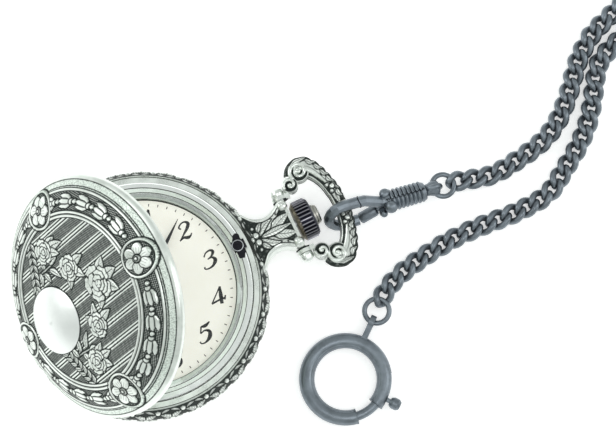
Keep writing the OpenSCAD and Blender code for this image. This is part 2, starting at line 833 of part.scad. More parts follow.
module clasp_swivel() color(gunmetal) clasped() {
    rotate([0, 90, 0]) {
        disc(1.15, 13.6, 14.5);
        disc(0.7, 14.5, 17.0);
        disc(1.1, 16.7, 17.3);
    }
    rotate([-hook_lean, 0, 0]) translate([18.35, 0, 0]) rotate([90, 0, 0])
        rotate_extrude() translate([1.35, 0]) circle(r = 0.6, $fn = 24);
}

module swivel_link() color(gunmetal) clasped()
    rotate([-hook_lean, 0, 0]) translate([20.4, 0, 0]) rotate_extrude() translate([2.2, 0]) circle(r = 0.5, $fn = 24);

// ---------- chain and spring ring ----------

module chain() color(gunmetal)
    sweep(chain_route, same(chain_w / 2, len(chain_route)), same(chain_h / 2 * 1.05, len(chain_route)), 8);

module jump_ring() color(gunmetal)
    translate(jump_at) rotate_extrude() translate([jump_r, 0]) circle(r = 0.5, $fn = 24);

// Stretch of a torus about the spring ring's axis, from one angle to another
module ring_arc(from, to, r) {
    rotate([0, 0, from]) rotate_extrude(angle = to - from, $fn = 96) translate([ring_r, 0]) circle(r = r, $fn = 32);
}

module ring_body() color(gunmetal)
    translate(ring_at) difference() {
        ring_arc(gap_end, gap_start + 360, ring_tube_r);
        ring_arc(gap_end - 2, 12, 1.0);
        rotate([0, 0, -58]) rotate_extrude(angle = 40) translate([ring_r + 0.6, -0.55]) square([2, 1.1]);
    }

module ring_bolt() color(gunmetal)
    translate(ring_at) {
        ring_arc(gap_start + 0.5, bolt_end, 0.9);
        rotate([0, 0, thumb_turn]) rotate([0, 90, 0]) {
            disc(0.45, ring_r + 0.4, 10.2);
            rotate_extrude() polygon([[0, 9.6], [0.8, 9.6], [1.15, 10.2], [1.15, 11.2], [0.8, 11.7], [0, 11.8]]);
        }
    }

module ring_spring() color(steel)
    translate(ring_at) {
        turns = 6;
        per = 10;
        start = -10;
        stop = 10;
        route = [for (i = [0 : turns * per])
            let (a = start + (stop - start) * i / (turns * per), r = ring_r + 0.68 * cos(i * 360 / per))
            [r * cos(a), r * sin(a), 0.68 * sin(i * 360 / per)]];
        sweep(route, same(0.12, len(route)), same(0.12, len(route)), 5, [1, 1, 0.2]);
    }

module ring_tab() color(gunmetal)
    translate(ring_at) rotate([0, 0, tab_turn]) difference() {
        union() {
            translate([8.3, -0.55, -1.1]) cube([3.6, 1.1, 2.2]);
            translate([12.2, 0.55, 0]) rotate([90, 0, 0]) cylinder(r = 1.4, h = 1.1);
        }
        translate([12.2, 2, 0]) rotate([90, 0, 0]) cylinder(r = 0.85, h = 4);
        rotate_extrude($fn = 96) translate([ring_r, 0]) circle(r = ring_tube_r, $fn = 32);
    }

case_middle();
pendant();
pendant_sleeve();
back_cover();
bezel();
rehaut_ring();
crystal();
lid_hinge_pin();
lift_spring();
lid_catch();
catch_screw();
front_lid();
lid_boss();
dial();
hour_hand();
minute_hand();
cannon_pinion();
hour_wheel();
minute_wheel();
main_plate();
barrel_bridge();
train_bridge();
balance_cock();
pallet_cock();
jewels();
bridge_screws();
case_screws();
mainspring_barrel();
mainspring();
barrel_arbor();
ratchet_wheel();
crown_wheel();
click();
centre_wheel();
third_wheel();
fourth_wheel();
escape_wheel();
pallet_fork();
balance_wheel();
hairspring();
stem();
winding_pinion();
crown();
crown_button();
button_spring();
bow();
bow_screws();
clasp_hook();
clasp_barrel();
clasp_gate();
gate_pin();
clasp_swivel();
swivel_link();
chain();
jump_ring();
ring_body();
ring_bolt();
ring_spring();
ring_tab();
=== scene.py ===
"""Looks of the hunter-case pocket watch, its chain, clasp and spring ring.

Shapes are worked out in millimetres in the CAD's frame and scaled to metres when a mesh is made.
"""
import math

import bpy
import numpy as np
from mathutils import Matrix, Vector


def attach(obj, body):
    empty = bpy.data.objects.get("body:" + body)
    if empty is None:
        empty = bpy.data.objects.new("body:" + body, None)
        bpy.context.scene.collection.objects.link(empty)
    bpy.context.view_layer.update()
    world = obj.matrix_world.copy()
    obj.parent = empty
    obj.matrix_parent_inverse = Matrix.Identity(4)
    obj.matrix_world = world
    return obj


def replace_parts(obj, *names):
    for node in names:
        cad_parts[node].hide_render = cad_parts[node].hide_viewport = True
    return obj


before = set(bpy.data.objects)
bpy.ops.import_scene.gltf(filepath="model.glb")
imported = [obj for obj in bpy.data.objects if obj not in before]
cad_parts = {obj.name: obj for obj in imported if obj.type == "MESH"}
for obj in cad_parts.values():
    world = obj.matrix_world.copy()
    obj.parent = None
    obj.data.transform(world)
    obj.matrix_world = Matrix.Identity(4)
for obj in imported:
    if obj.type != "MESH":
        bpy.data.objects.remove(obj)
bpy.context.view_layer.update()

MM = 0.001
RNG = np.random.default_rng(7)

# ---- driving values, as in the CAD source
AXIS_Z = 4.65
DIAL_Z = 8.7
HINGE = np.array([-23.45, 0.0, 9.1])
LID_OPEN = 47.6
LID_SEAT = 9.35
CLASP_AT = np.array([41.75, -2.6, 4.4])
CLASP_TURN = -8
CLASP_DIP = 5
HOOK_LEAN = -23
RING_AT = np.array([28.1, -31.2, 1.5])
RING_R = 7.5
LIP_R = 1.4352            # a little less than the ring's tube
KNUCKLE_R = 0.55
CASE_KNUCKLE_Y = 2.8
CASE_KNUCKLE_HALF = 1.3
LUG_X = 31.75

CHAIN_REST = 1.3          # height of the chain's middle where it lies on the table
CHAIN_ROUTE = np.array([
    (65.2, -5.9, 2.0), (71.5, -7.5, 1.35),
    *((x, y, CHAIN_REST) for x, y in (
        (78, -7), (84, -5.7), (88.7, -3.1), (93, 0.9), (97.4, 5.7), (102.4, 9.3), (108, 11.3), (114, 14),
        (120, 18.5), (126, 24), (132, 30), (138, 36), (144, 41.5), (151, 45), (158, 44), (162, 38.5),
        (160.5, 31.5), (154.5, 27), (147.5, 23.5), (140.5, 20), (133, 16.5), (126, 13), (119, 9.5),
        (112, 6.8), (105.5, 5.5), (100.7, 3.2), (97.5, -1), (94, -5.7), (90, -9.4), (85.2, -12.6),
        (79.8, -15.7), (73, -16.3), (66, -15.8), (60, -15.6), (53.8, -16.1), (47.5, -17.2),
    )),
    (43.6, -18.6, 1.35), (42, -19.6, 1.4),
])
CHAIN_WIDTH = 4.2
CHAIN_WIRE = 1.3
CHAIN_PITCH = 3.05

# ---- camera
CAM_AZIMUTH = math.radians(-24.03)
CAM_ELEVATION = math.radians(79.39)
CAM_ROLL = math.radians(-1.87)
CAM_DISTANCE = 0.450
CAM_TARGET = Vector((0.03442, -0.00161, 0.0080))
CAM_LENS = 136.4


def in_scene(name, data):
    """A new object in the scene."""
    ob = bpy.data.objects.new(name, data)
    bpy.context.scene.collection.objects.link(ob)
    return ob


def make_camera():
    back = Vector((
        math.sin(CAM_AZIMUTH) * math.cos(CAM_ELEVATION),
        -math.cos(CAM_AZIMUTH) * math.cos(CAM_ELEVATION),
        math.sin(CAM_ELEVATION),
    ))
    right = Vector((0, 0, 1)).cross(back).normalized()
    up = back.cross(right)
    turned_right = math.cos(CAM_ROLL) * right + math.sin(CAM_ROLL) * up
    turned_up = math.cos(CAM_ROLL) * up - math.sin(CAM_ROLL) * right
    data = bpy.data.cameras.new("camera")
    data.lens = CAM_LENS
    data.sensor_width = 36
    data.clip_start = 0.01
    data.clip_end = 10
    cam = in_scene("camera", data)
    cam.matrix_world = Matrix.LocRotScale(
        CAM_TARGET + back * CAM_DISTANCE,
        Matrix((turned_right, turned_up, back)).transposed().to_quaternion(),
        (1, 1, 1),
    )
    bpy.context.scene.camera = cam


make_camera()


# ---- small geometry helpers
def unit(v):
    v = np.asarray(v, float)
    return v / np.maximum(np.linalg.norm(v, axis=-1, keepdims=True), 1e-12)


def rotation(axis, degrees):
    """Rotation matrix about X, Y or Z."""
    return np.array(Matrix.Rotation(math.radians(degrees), 3, axis))


def smooth_line(points, per_span):
    """Catmull-Rom curve through the points."""
    p = np.asarray(points, float)
    p = np.vstack([2 * p[0] - p[1], p, 2 * p[-1] - p[-2]])
    out = []
    for i in range(1, len(p) - 2):
        t = np.linspace(0, 1, per_span, endpoint=False)[:, None]
        a, b, c, d = p[i - 1], p[i], p[i + 1], p[i + 2]
        out.append(0.5 * (
            2 * b + (c - a) * t + (2 * a - 5 * b + 4 * c - d) * t**2 + (3 * b - a - 3 * c + d) * t**3
        ))
    out.append(p[-2][None])
    return np.vstack(out)


def arc_length(points):
    """Distance along a line at each of its points."""
    return np.concatenate([[0], np.cumsum(np.linalg.norm(np.diff(points, axis=0), axis=1))])


def at_length(points, s):
    """Points at the distances s along a line."""
    along = arc_length(points)
    return np.stack([np.interp(s, along, points[:, k]) for k in range(points.shape[1])], axis=-1)


def smoothstep(x, low, high):
    """Rises smoothly from 0 at low to 1 at high."""
    t = np.clip((x - low) / (high - low), 0, 1)
    return t * t * (3 - 2 * t)


def band(x, start, full, fall, end):
    """1 from full to fall, and 0 before start and after end."""
    return smoothstep(x, start, full) * (1 - smoothstep(x, fall, end))


def polar(r, degrees):
    return r * math.cos(math.radians(degrees)), r * math.sin(math.radians(degrees))


def arc(r, turns, z):
    """Points at radius r and height z, one for each turn about Z."""
    return np.column_stack(np.broadcast_arrays(r * np.cos(turns), r * np.sin(turns), z))


def around(r, turns, z):
    """Points at radii r and heights z, with one row for each turn about Z."""
    x = r * np.cos(turns)[:, None]
    return np.stack([x, r * np.sin(turns)[:, None], np.broadcast_to(z, x.shape)], axis=-1)


def grid_faces(rows, cols, wrap_rows=False, wrap_cols=False):
    """Four-sided faces over a grid of points, closed across its edges if asked."""
    r = np.arange(rows if wrap_rows else rows - 1)
    c = np.arange(cols if wrap_cols else cols - 1)
    i, j = np.meshgrid(r, c, indexing="ij")
    i2, j2 = (i + 1) % rows, (j + 1) % cols
    return np.stack([i * cols + j, i2 * cols + j, i2 * cols + j2, i * cols + j2], axis=-1).reshape(-1, 4)


def edge_loop(n, m):
    """Indices round the edge of an n by m grid of points."""
    index = np.arange(n * m).reshape(n, m)
    return np.concatenate([index[:-1, 0], index[-1, :-1], index[:0:-1, -1], index[0, :0:-1]])


class Shape:
    """Vertices in millimetres, faces and named values on the vertices, gathered from several parts."""

    def __init__(self):
        self.verts, self.faces, self.values, self.count = [], [], {}, 0

    def add(self, verts, faces, **values):
        verts = np.asarray(verts, float).reshape(-1, 3)
        self.verts.append(verts)
        self.faces += [tuple(int(k) + self.count for k in f) for f in faces]
        for name in set(values) | set(self.values):
            value = values.get(name, 0.0)
            rows = self.values.setdefault(name, [np.zeros(self.count)] if self.count else [])
            rows.append(np.broadcast_to(np.asarray(value, float).reshape(-1), (len(verts),)))
        self.count += len(verts)
        return self

    def tube(self, points, radius, sides=12, up=(0, 0, 1), closed=False, **values):
        """A round tube along points; radius is one number or one for each point."""
        p = np.asarray(points, float)
        n = len(p)
        ahead = np.roll(p, -1, 0) - np.roll(p, 1, 0)
        if not closed:
            ahead[0], ahead[-1] = p[1] - p[0], p[-1] - p[-2]
        t = unit(ahead)
        side = unit(np.cross(np.broadcast_to(np.asarray(up, float), t.shape), t))
        lift = np.cross(t, side)
        r = np.broadcast_to(np.asarray(radius, float), (n,))[:, None, None]
        a = np.linspace(0, 2 * np.pi, sides, endpoint=False)[None, :, None]
        ring = p[:, None] + side[:, None] * np.cos(a) * r + lift[:, None] * np.sin(a) * r
        faces = [tuple(f) for f in grid_faces(n, sides, wrap_rows=closed, wrap_cols=True)]
        if not closed:
            faces += [tuple(range(sides)), tuple((n - 1) * sides + k for k in range(sides))[::-1]]
        return self.add(ring.reshape(-1, 3), faces, **values)

    def lathe(self, outline, place, steps, **values):
        """A closed outline of (radius, height) turned about a local Z, which place maps to the frame."""
        o = np.array([*outline, outline[0]], float)
        a = np.linspace(0, 2 * np.pi, steps, endpoint=False)
        points = around(o[:, 0], a, o[:, 1]).reshape(-1, 3)
        return self.add(place(points), grid_faces(steps, len(o), wrap_rows=True), **values)

    def piece(self, name, material, body, slot, place=None, flat_angle=None):
        """Makes the mesh object, which rides the body; edges sharper than flat_angle are left hard."""
        verts = np.vstack(self.verts)
        if place is not None:
            verts = place(verts)
        mesh = bpy.data.meshes.new(name)
        mesh.from_pydata((verts * MM).tolist(), [], self.faces)
        for key, rows in self.values.items():
            layer = mesh.attributes.new(key, "FLOAT", "POINT")
            layer.data.foreach_set("value", np.concatenate(rows).astype(np.float32))
        mesh.polygons.foreach_set("use_smooth", [True] * len(mesh.polygons))
        mesh.validate()
        ob = in_scene(name, mesh)
        mesh.materials.append(material)
        if flat_angle is not None:
            mesh.set_sharp_from_angle(angle=math.radians(flat_angle))
        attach(ob, body)
        return ob


def moved(origin, matrix=None):
    """Maps local points to the frame: turned by the matrix, then moved to the origin."""
    m = np.eye(3) if matrix is None else np.asarray(matrix, float)
    return lambda p: np.asarray(p, float) @ m.T + np.asarray(origin, float)


OPENED = moved(HINGE - rotation("Y", -LID_OPEN) @ HINGE, rotation("Y", -LID_OPEN))
CLASPED = moved(CLASP_AT, rotation("Z", CLASP_TURN) @ rotation("Y", CLASP_DIP) @ rotation("X", HOOK_LEAN))


# ---- materials
class Nodes:
    """Short way to build a node tree."""

    def __init__(self, name):
        self.material = bpy.data.materials.new(name)
        self.material.use_nodes = True
        self.tree = self.material.node_tree
        self.shader = self.tree.nodes["Principled BSDF"]

    def node(self, kind, inputs=(), **settings):
        n = self.tree.nodes.new(kind)
        for k, v in settings.items():
            setattr(n, k, v)
        for k, v in dict(inputs).items():
            self.put(n.inputs[k], v)
        return n

    def put(self, socket, value):
        if isinstance(value, bpy.types.NodeSocket):
            self.tree.links.new(value, socket)
        else:
            socket.default_value = value

    def maths(self, operation, a, b=0.0, clamp=False):
        return self.node("ShaderNodeMath", {0: a, 1: b}, operation=operation, use_clamp=clamp).outputs[0]

    def times(self, a, b, clamp=False):
        return self.maths("MULTIPLY", a, b, clamp)

    def plus(self, a, b, clamp=False):
        return self.maths("ADD", a, b, clamp)

    def surface(self, **inputs):
        """Sets the shader's inputs; an underscore in a name stands for a space."""
        for name, value in inputs.items():
            self.put(self.shader.inputs[name.replace("_", " ")], value)

    def mix(self, factor, a, b):
        n = self.node("ShaderNodeMix", data_type="RGBA")
        self.put(n.inputs["Factor"], factor)
        self.put(n.inputs["A"], a if isinstance(a, bpy.types.NodeSocket) else (*a, 1.0))
        self.put(n.inputs["B"], b if isinstance(b, bpy.types.NodeSocket) else (*b, 1.0))
        return n.outputs["Result"]

    def place(self):
        return self.node("ShaderNodeTexCoord").outputs["Object"]

    def noise(self, scale, detail=4.0, rough=0.55):
        inputs = {"Vector": self.place(), "Scale": scale, "Detail": detail, "Roughness": rough}
        return self.node("ShaderNodeTexNoise", inputs).outputs["Fac"]

    def ramp(self, value, low, high, out_low=0.0, out_high=1.0):
        """Maps low and high to out_low and out_high, and stays within them."""
        return self.node("ShaderNodeMapRange", {
            "Value": value, "From Min": low, "From Max": high, "To Min": out_low, "To Max": out_high,
        }).outputs["Result"]

    def attribute(self, name):
        return self.node("ShaderNodeAttribute", attribute_name=name).outputs["Fac"]

    def bump(self, height, distance, strength=1.0, normal=None):
        n = self.node("ShaderNodeBump", {"Height": height, "Distance": distance, "Strength": strength})
        if normal is not None:
            self.put(n.inputs["Normal"], normal)
        return n.outputs["Normal"]

    def dulled(self, patina_and_shade):
        """Patina and painted shade take the metal's shine away."""
        shine = self.maths("SUBTRACT", 1.0, self.times(patina_and_shade, 0.85))
        self.surface(Metallic=shine, Specular_IOR_Level=0.15)


def metal(name, colour, rough, patina_and_shade=None, grain=0.0, mottle=0.12, spread=0.08):
    """Worn metal: cloudy colour and gloss, fine grain, and dark patina and painted shade where the value
    "dark" asks for it.
    """
    m = Nodes(name)
    m.surface(Metallic=1.0)
    cloud = m.noise(*CLOUD)
    fine = m.noise(*GRAIN)
    darker = tuple(c * (1 - mottle) for c in colour)
    lighter = tuple(min(1.0, c * (1 + mottle * 0.6)) for c in colour)
    base = m.mix(m.ramp(cloud, 0.35, 0.65), darker, lighter)
    gloss = m.ramp(cloud, 0.3, 0.7, rough - spread, rough + spread)
    gloss = m.plus(gloss, m.ramp(fine, 0.3, 0.7, -0.03, 0.03))
    if patina_and_shade is not None:
        patches = m.ramp(m.noise(*PATCHES), 0.3, 0.6, 0.95, 1.25)
        uneven = m.times(m.attribute("dark"), patches, clamp=True)
        base = m.mix(uneven, base, patina_and_shade)
        gloss = m.plus(gloss, m.times(uneven, 0.30), clamp=True)
        m.dulled(uneven)
    m.surface(Base_Color=base, Roughness=gloss)
    if grain:
        m.surface(Normal=m.bump(fine, 0.00004, grain))
    return m.material


# scale, detail and roughness of the noises that the metals share
CLOUD = (380, 5, 0.6)
GRAIN = (5200, 3, 0.6)
PATCHES = (1500, 4, 0.6)
SILVER = (0.80, 0.84, 0.80)
PATINA = (0.022, 0.029, 0.026)
GUN = (0.205, 0.235, 0.265)
# dark colour of the gunmetal's patina, also the painted shade on the chain links
GUN_DARK = (0.022, 0.027, 0.036)
HATCH_PITCH = 0.44

mat_silver = metal("antiqued_silver", SILVER, 0.30, PATINA, grain=0.35)
mat_satin = metal("satin_silver", (0.74, 0.79, 0.75), 0.36, PATINA, grain=0.5)
mat_polished = metal("polished_silver", (0.90, 0.93, 0.91), 0.16, spread=0.03, mottle=0.05)
mat_boss = metal("polished_boss", (0.84, 0.87, 0.85), 0.40, spread=0.03, mottle=0.03)
mat_inner = metal("grey_flange", (0.74, 0.81, 0.76), 0.34, grain=0.2, mottle=0.06)
mat_gun = metal("gunmetal", GUN, 0.38, GUN_DARK, grain=0.6, mottle=0.22)
mat_steel = metal("spring_steel", (0.52, 0.54, 0.56), 0.30, grain=0.1)
mat_black = metal("blackened_steel", (0.025, 0.025, 0.03), 0.35, grain=0.2)
mat_seam = metal("dark_seam", (0.05, 0.055, 0.05), 0.5)
mat_brass = metal("plate_brass", (0.78, 0.60, 0.30), 0.28, grain=0.15)
mat_wheel = metal("wheel_brass", (0.83, 0.66, 0.33), 0.22)
mat_blued = metal("blued_steel", (0.05, 0.08, 0.32), 0.22)
mat_button = metal("button_nickel", (0.42, 0.41, 0.38), 0.30, (0.06, 0.055, 0.05), grain=0.5, mottle=0.3)

NODE_MATERIALS = {
    mat_silver: ["case_middle", "pendant", "bow_screws", "bow", "back_cover"],
    mat_satin: ["front_lid"],
    mat_polished: ["bezel"],
    mat_boss: ["lid_boss"],
    mat_steel: [
        "pendant_sleeve", "lid_hinge_pin", "lift_spring", "cannon_pinion", "ratchet_wheel", "crown_wheel",
        "click", "barrel_arbor", "mainspring", "escape_wheel", "pallet_fork", "stem", "winding_pinion",
        "button_spring", "case_screws", "ring_spring",
    ],
    mat_black: ["lid_catch", "catch_screw"],
    mat_inner: ["rehaut_ring"],
    mat_brass: ["main_plate", "barrel_bridge", "train_bridge", "balance_cock", "pallet_cock"],
    mat_wheel: [
        "hour_wheel", "minute_wheel", "mainspring_barrel", "centre_wheel", "third_wheel", "fourth_wheel",
        "balance_wheel",
    ],
    mat_blued: ["hairspring", "bridge_screws"],
    mat_button: ["crown_button"],
    mat_gun: [
        "clasp_hook", "clasp_barrel", "clasp_gate", "gate_pin", "clasp_swivel", "swivel_link", "jump_ring",
        "ring_body", "ring_bolt", "ring_tab", "chain",
    ],
}


def make_ruby():
    m = Nodes("ruby")
    m.surface(Base_Color=m.mix(m.noise(900), (0.45, 0.01, 0.06), (0.65, 0.03, 0.12)), Roughness=0.08)
    return m.material


def make_enamel():
    """Cream dial with faint cloudiness and a faint painted glow."""
    m = Nodes("dial_enamel")
    cloud = m.ramp(m.noise(260, 6, 0.6), 0.3, 0.7)
    m.surface(
        Base_Color=m.mix(cloud, (0.90, 0.88, 0.80), (0.95, 0.93, 0.86)),
        # painted glow: the enamel gives off a little cream light of its own, so the dial looks brighter
        Emission_Color=(0.96, 0.93, 0.84, 1),
        Emission_Strength=0.21,
        Roughness=m.ramp(m.noise(900), 0.3, 0.7, 0.32, 0.42),
        Normal=m.bump(m.noise(2600, 3), 0.00003, 0.3),
    )
    return m.material


def make_ink():
    m = Nodes("hand_black")
    m.surface(
        Base_Color=m.mix(m.noise(1500), (0.006, 0.006, 0.008), (0.016, 0.016, 0.02)),
        Roughness=m.ramp(m.noise(900), 0.3, 0.7, 0.25, 0.4),
    )
    return m.material


def make_crystal():
    """Thin clear mineral glass, nearly all seen through."""
    m = Nodes("crystal")
    tint = m.mix(m.noise(300), (0.20, 0.24, 0.22), (0.26, 0.30, 0.28))
    m.surface(Base_Color=tint, Roughness=0.03, Alpha=0.03)
    return m.material


def make_crown_metal():
    """Painted shade in the grooves between bright rib crests, a darker outer end and a brassy bevel on the
    case side, by place on the stem.
    """
    m = Nodes("crown_gunmetal")
    where = m.node("ShaderNodeSeparateXYZ", {0: m.place()})
    x, y = where.outputs["X"], where.outputs["Y"]
    rise = m.maths("SUBTRACT", where.outputs["Z"], AXIS_Z * MM)
    square = m.plus(m.times(y, y), m.times(rise, rise))
    # painted shade: near black in the grooves, lighter on the rib crests
    crest = m.ramp(m.maths("POWER", square, 0.5), 0.00376, 0.00400)
    base = m.mix(crest, (0.012, 0.012, 0.02), (0.27, 0.27, 0.30))
    base = m.mix(m.ramp(x, 0.0356, 0.0361), base, (0.10, 0.10, 0.12))
    brassy = m.mix(m.noise(2200, 3), (0.20, 0.17, 0.15), (0.42, 0.37, 0.28))
    base = m.mix(m.ramp(x, 0.0334, 0.0329), base, brassy)
    m.surface(Base_Color=base, Roughness=m.ramp(m.noise(900, 4), 0.3, 0.7, 0.28, 0.42), Metallic=1.0)
    return m.material


def make_relief():
    """Antiqued silver with patina in the cut lines, cross-hatched ground and a stippled flange."""
    m = Nodes("relief_silver")
    cloud = m.noise(*CLOUD)
    fine = m.noise(*GRAIN)
    base = m.mix(m.ramp(cloud, 0.35, 0.65), (0.70, 0.75, 0.70), (0.84, 0.88, 0.84))
    base = m.mix(m.attribute("flange"), base, (0.80, 0.88, 0.81))
    wave = 2 * math.pi / HATCH_PITCH
    across, down = (m.maths("SINE", m.times(m.attribute(k), wave)) for k in ("hx", "hy"))
    crossing = m.ramp(m.times(across, down), -0.1, 0.6, 1.0, 0.42)
    hatch = m.times(crossing, m.attribute("ground"), clamp=True)
    specks = m.ramp(m.noise(3600, 2, 0.7), 0.42, 0.62)
    stipple = m.times(specks, m.attribute("flange"), clamp=True)
    cut = m.plus(m.attribute("dark"), m.times(hatch, 0.92), clamp=True)
    cut = m.plus(cut, m.times(stipple, 0.34), clamp=True)
    uneven = m.times(cut, m.ramp(m.noise(*PATCHES), 0.3, 0.6, 1.0, 1.3), clamp=True)
    gloss = m.plus(m.ramp(cloud, 0.3, 0.7, 0.26, 0.38), m.times(uneven, 0.25), clamp=True)
    m.dulled(uneven)
    sunk = m.bump(m.times(m.plus(hatch, stipple), -1.0), 0.00005, 0.5)
    relief = m.bump(fine, 0.00003, 0.3, sunk)
    m.surface(Base_Color=m.mix(uneven, base, PATINA), Roughness=gloss, Normal=relief)
    return m.material


mat_relief = make_relief()
mat_ruby = make_ruby()
mat_enamel = make_enamel()
mat_ink = make_ink()
mat_crystal = make_crystal()
NODE_MATERIALS.update({
    mat_ruby: ["jewels"],
    mat_enamel: ["dial"],
    mat_ink: ["hour_hand", "minute_hand"],
    mat_crystal: ["crystal"],
    make_crown_metal(): ["crown"],
})
for material, nodes in NODE_MATERIALS.items():
    for node in nodes:
        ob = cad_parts[node]
        if not ob.material_slots:
            ob.data.materials.append(material)
        for holder in ob.material_slots:
            holder.material = material


# ---- relief work on the lid
LID_PROFILE = [
    (0, 4.85), (7, 4.75), (13, 4.5), (16.7, 4.2), (18.2, 3.8), (19.5, 3.2), (20.7, 2.45), (22.0, 1.5),
    (22.6, 1.05), (22.85, 0.75), (22.9, 0.45), (22.9, 0),
]
LID_INSIDE = [
    (22.0, 0), (22.0, 0.4), (22.4, 0.4), (22.3, 0.65), (21.6, 1.05), (20.4, 2.0), (19.2, 2.75), (17.9, 3.35),
    (16.5, 3.7), (13, 4.0), (7, 4.25), (0, 4.35),
]
FIELD_R = 15.6            # edge of the middle piece, just inside the border ring
RING_AT_R = 16.2
BORDER_R = 20.5
MEDAL_R = 18.5
MEDAL_SIZE = 3.6
MEDAL_Z = 3.82
MEDAL_TURNS = (0, 90, 180, 270)
BOSS_AT = (-7.5, -0.5)
BOSS_SIZE = 6.3
STRIPE_PITCH = 3.5
STRIPE_TURN = math.radians(-2.5)
# x, y, radius, turn and the tips of the leaves of each rose
ROSES = [
    (-2.9, 11.5, 2.4, 10, [(0.9, 12.6), (2.3, 11.0), (0.6, 9.6)]),
    (1.8, 6.1, 2.5, 50, [(6.0, 6.6), (4.6, 3.3), (0.2, 2.9)]),
    (7.3, 0.5, 3.4, 95, [(10.6, 3.9), (12.4, 0.9), (11.2, -2.4), (5.4, -3.4)]),
    (2.4, -5.9, 2.4, 130, [(6.6, -4.8), (3.6, -2.2), (0.6, -3.4)]),
    (-2.3, -11.3, 2.4, 170, [(0.6, -9.0), (1.9, -11.0), (0.8, -13.2)]),
]
# size, number of petals and turn of each layer of a rose
ROSE_LAYERS = [(1.0, 5, 0.0), (0.72, 4, 0.55), (0.46, 3, 0.2), (0.22, 3, 0.7)]
FIELD_GRID = 304          # points along each side of the field's grid, which keeps it under 200,000 triangles
LID_LINE = smooth_line(LID_PROFILE, 14)


def dome(r):
    """Height of the plain lid above its seat."""
    top = LID_LINE[: int(np.argmax(LID_LINE[:, 0] >= 22.89)) + 1]
    return np.interp(r, np.maximum.accumulate(top[:, 0]), top[:, 1])


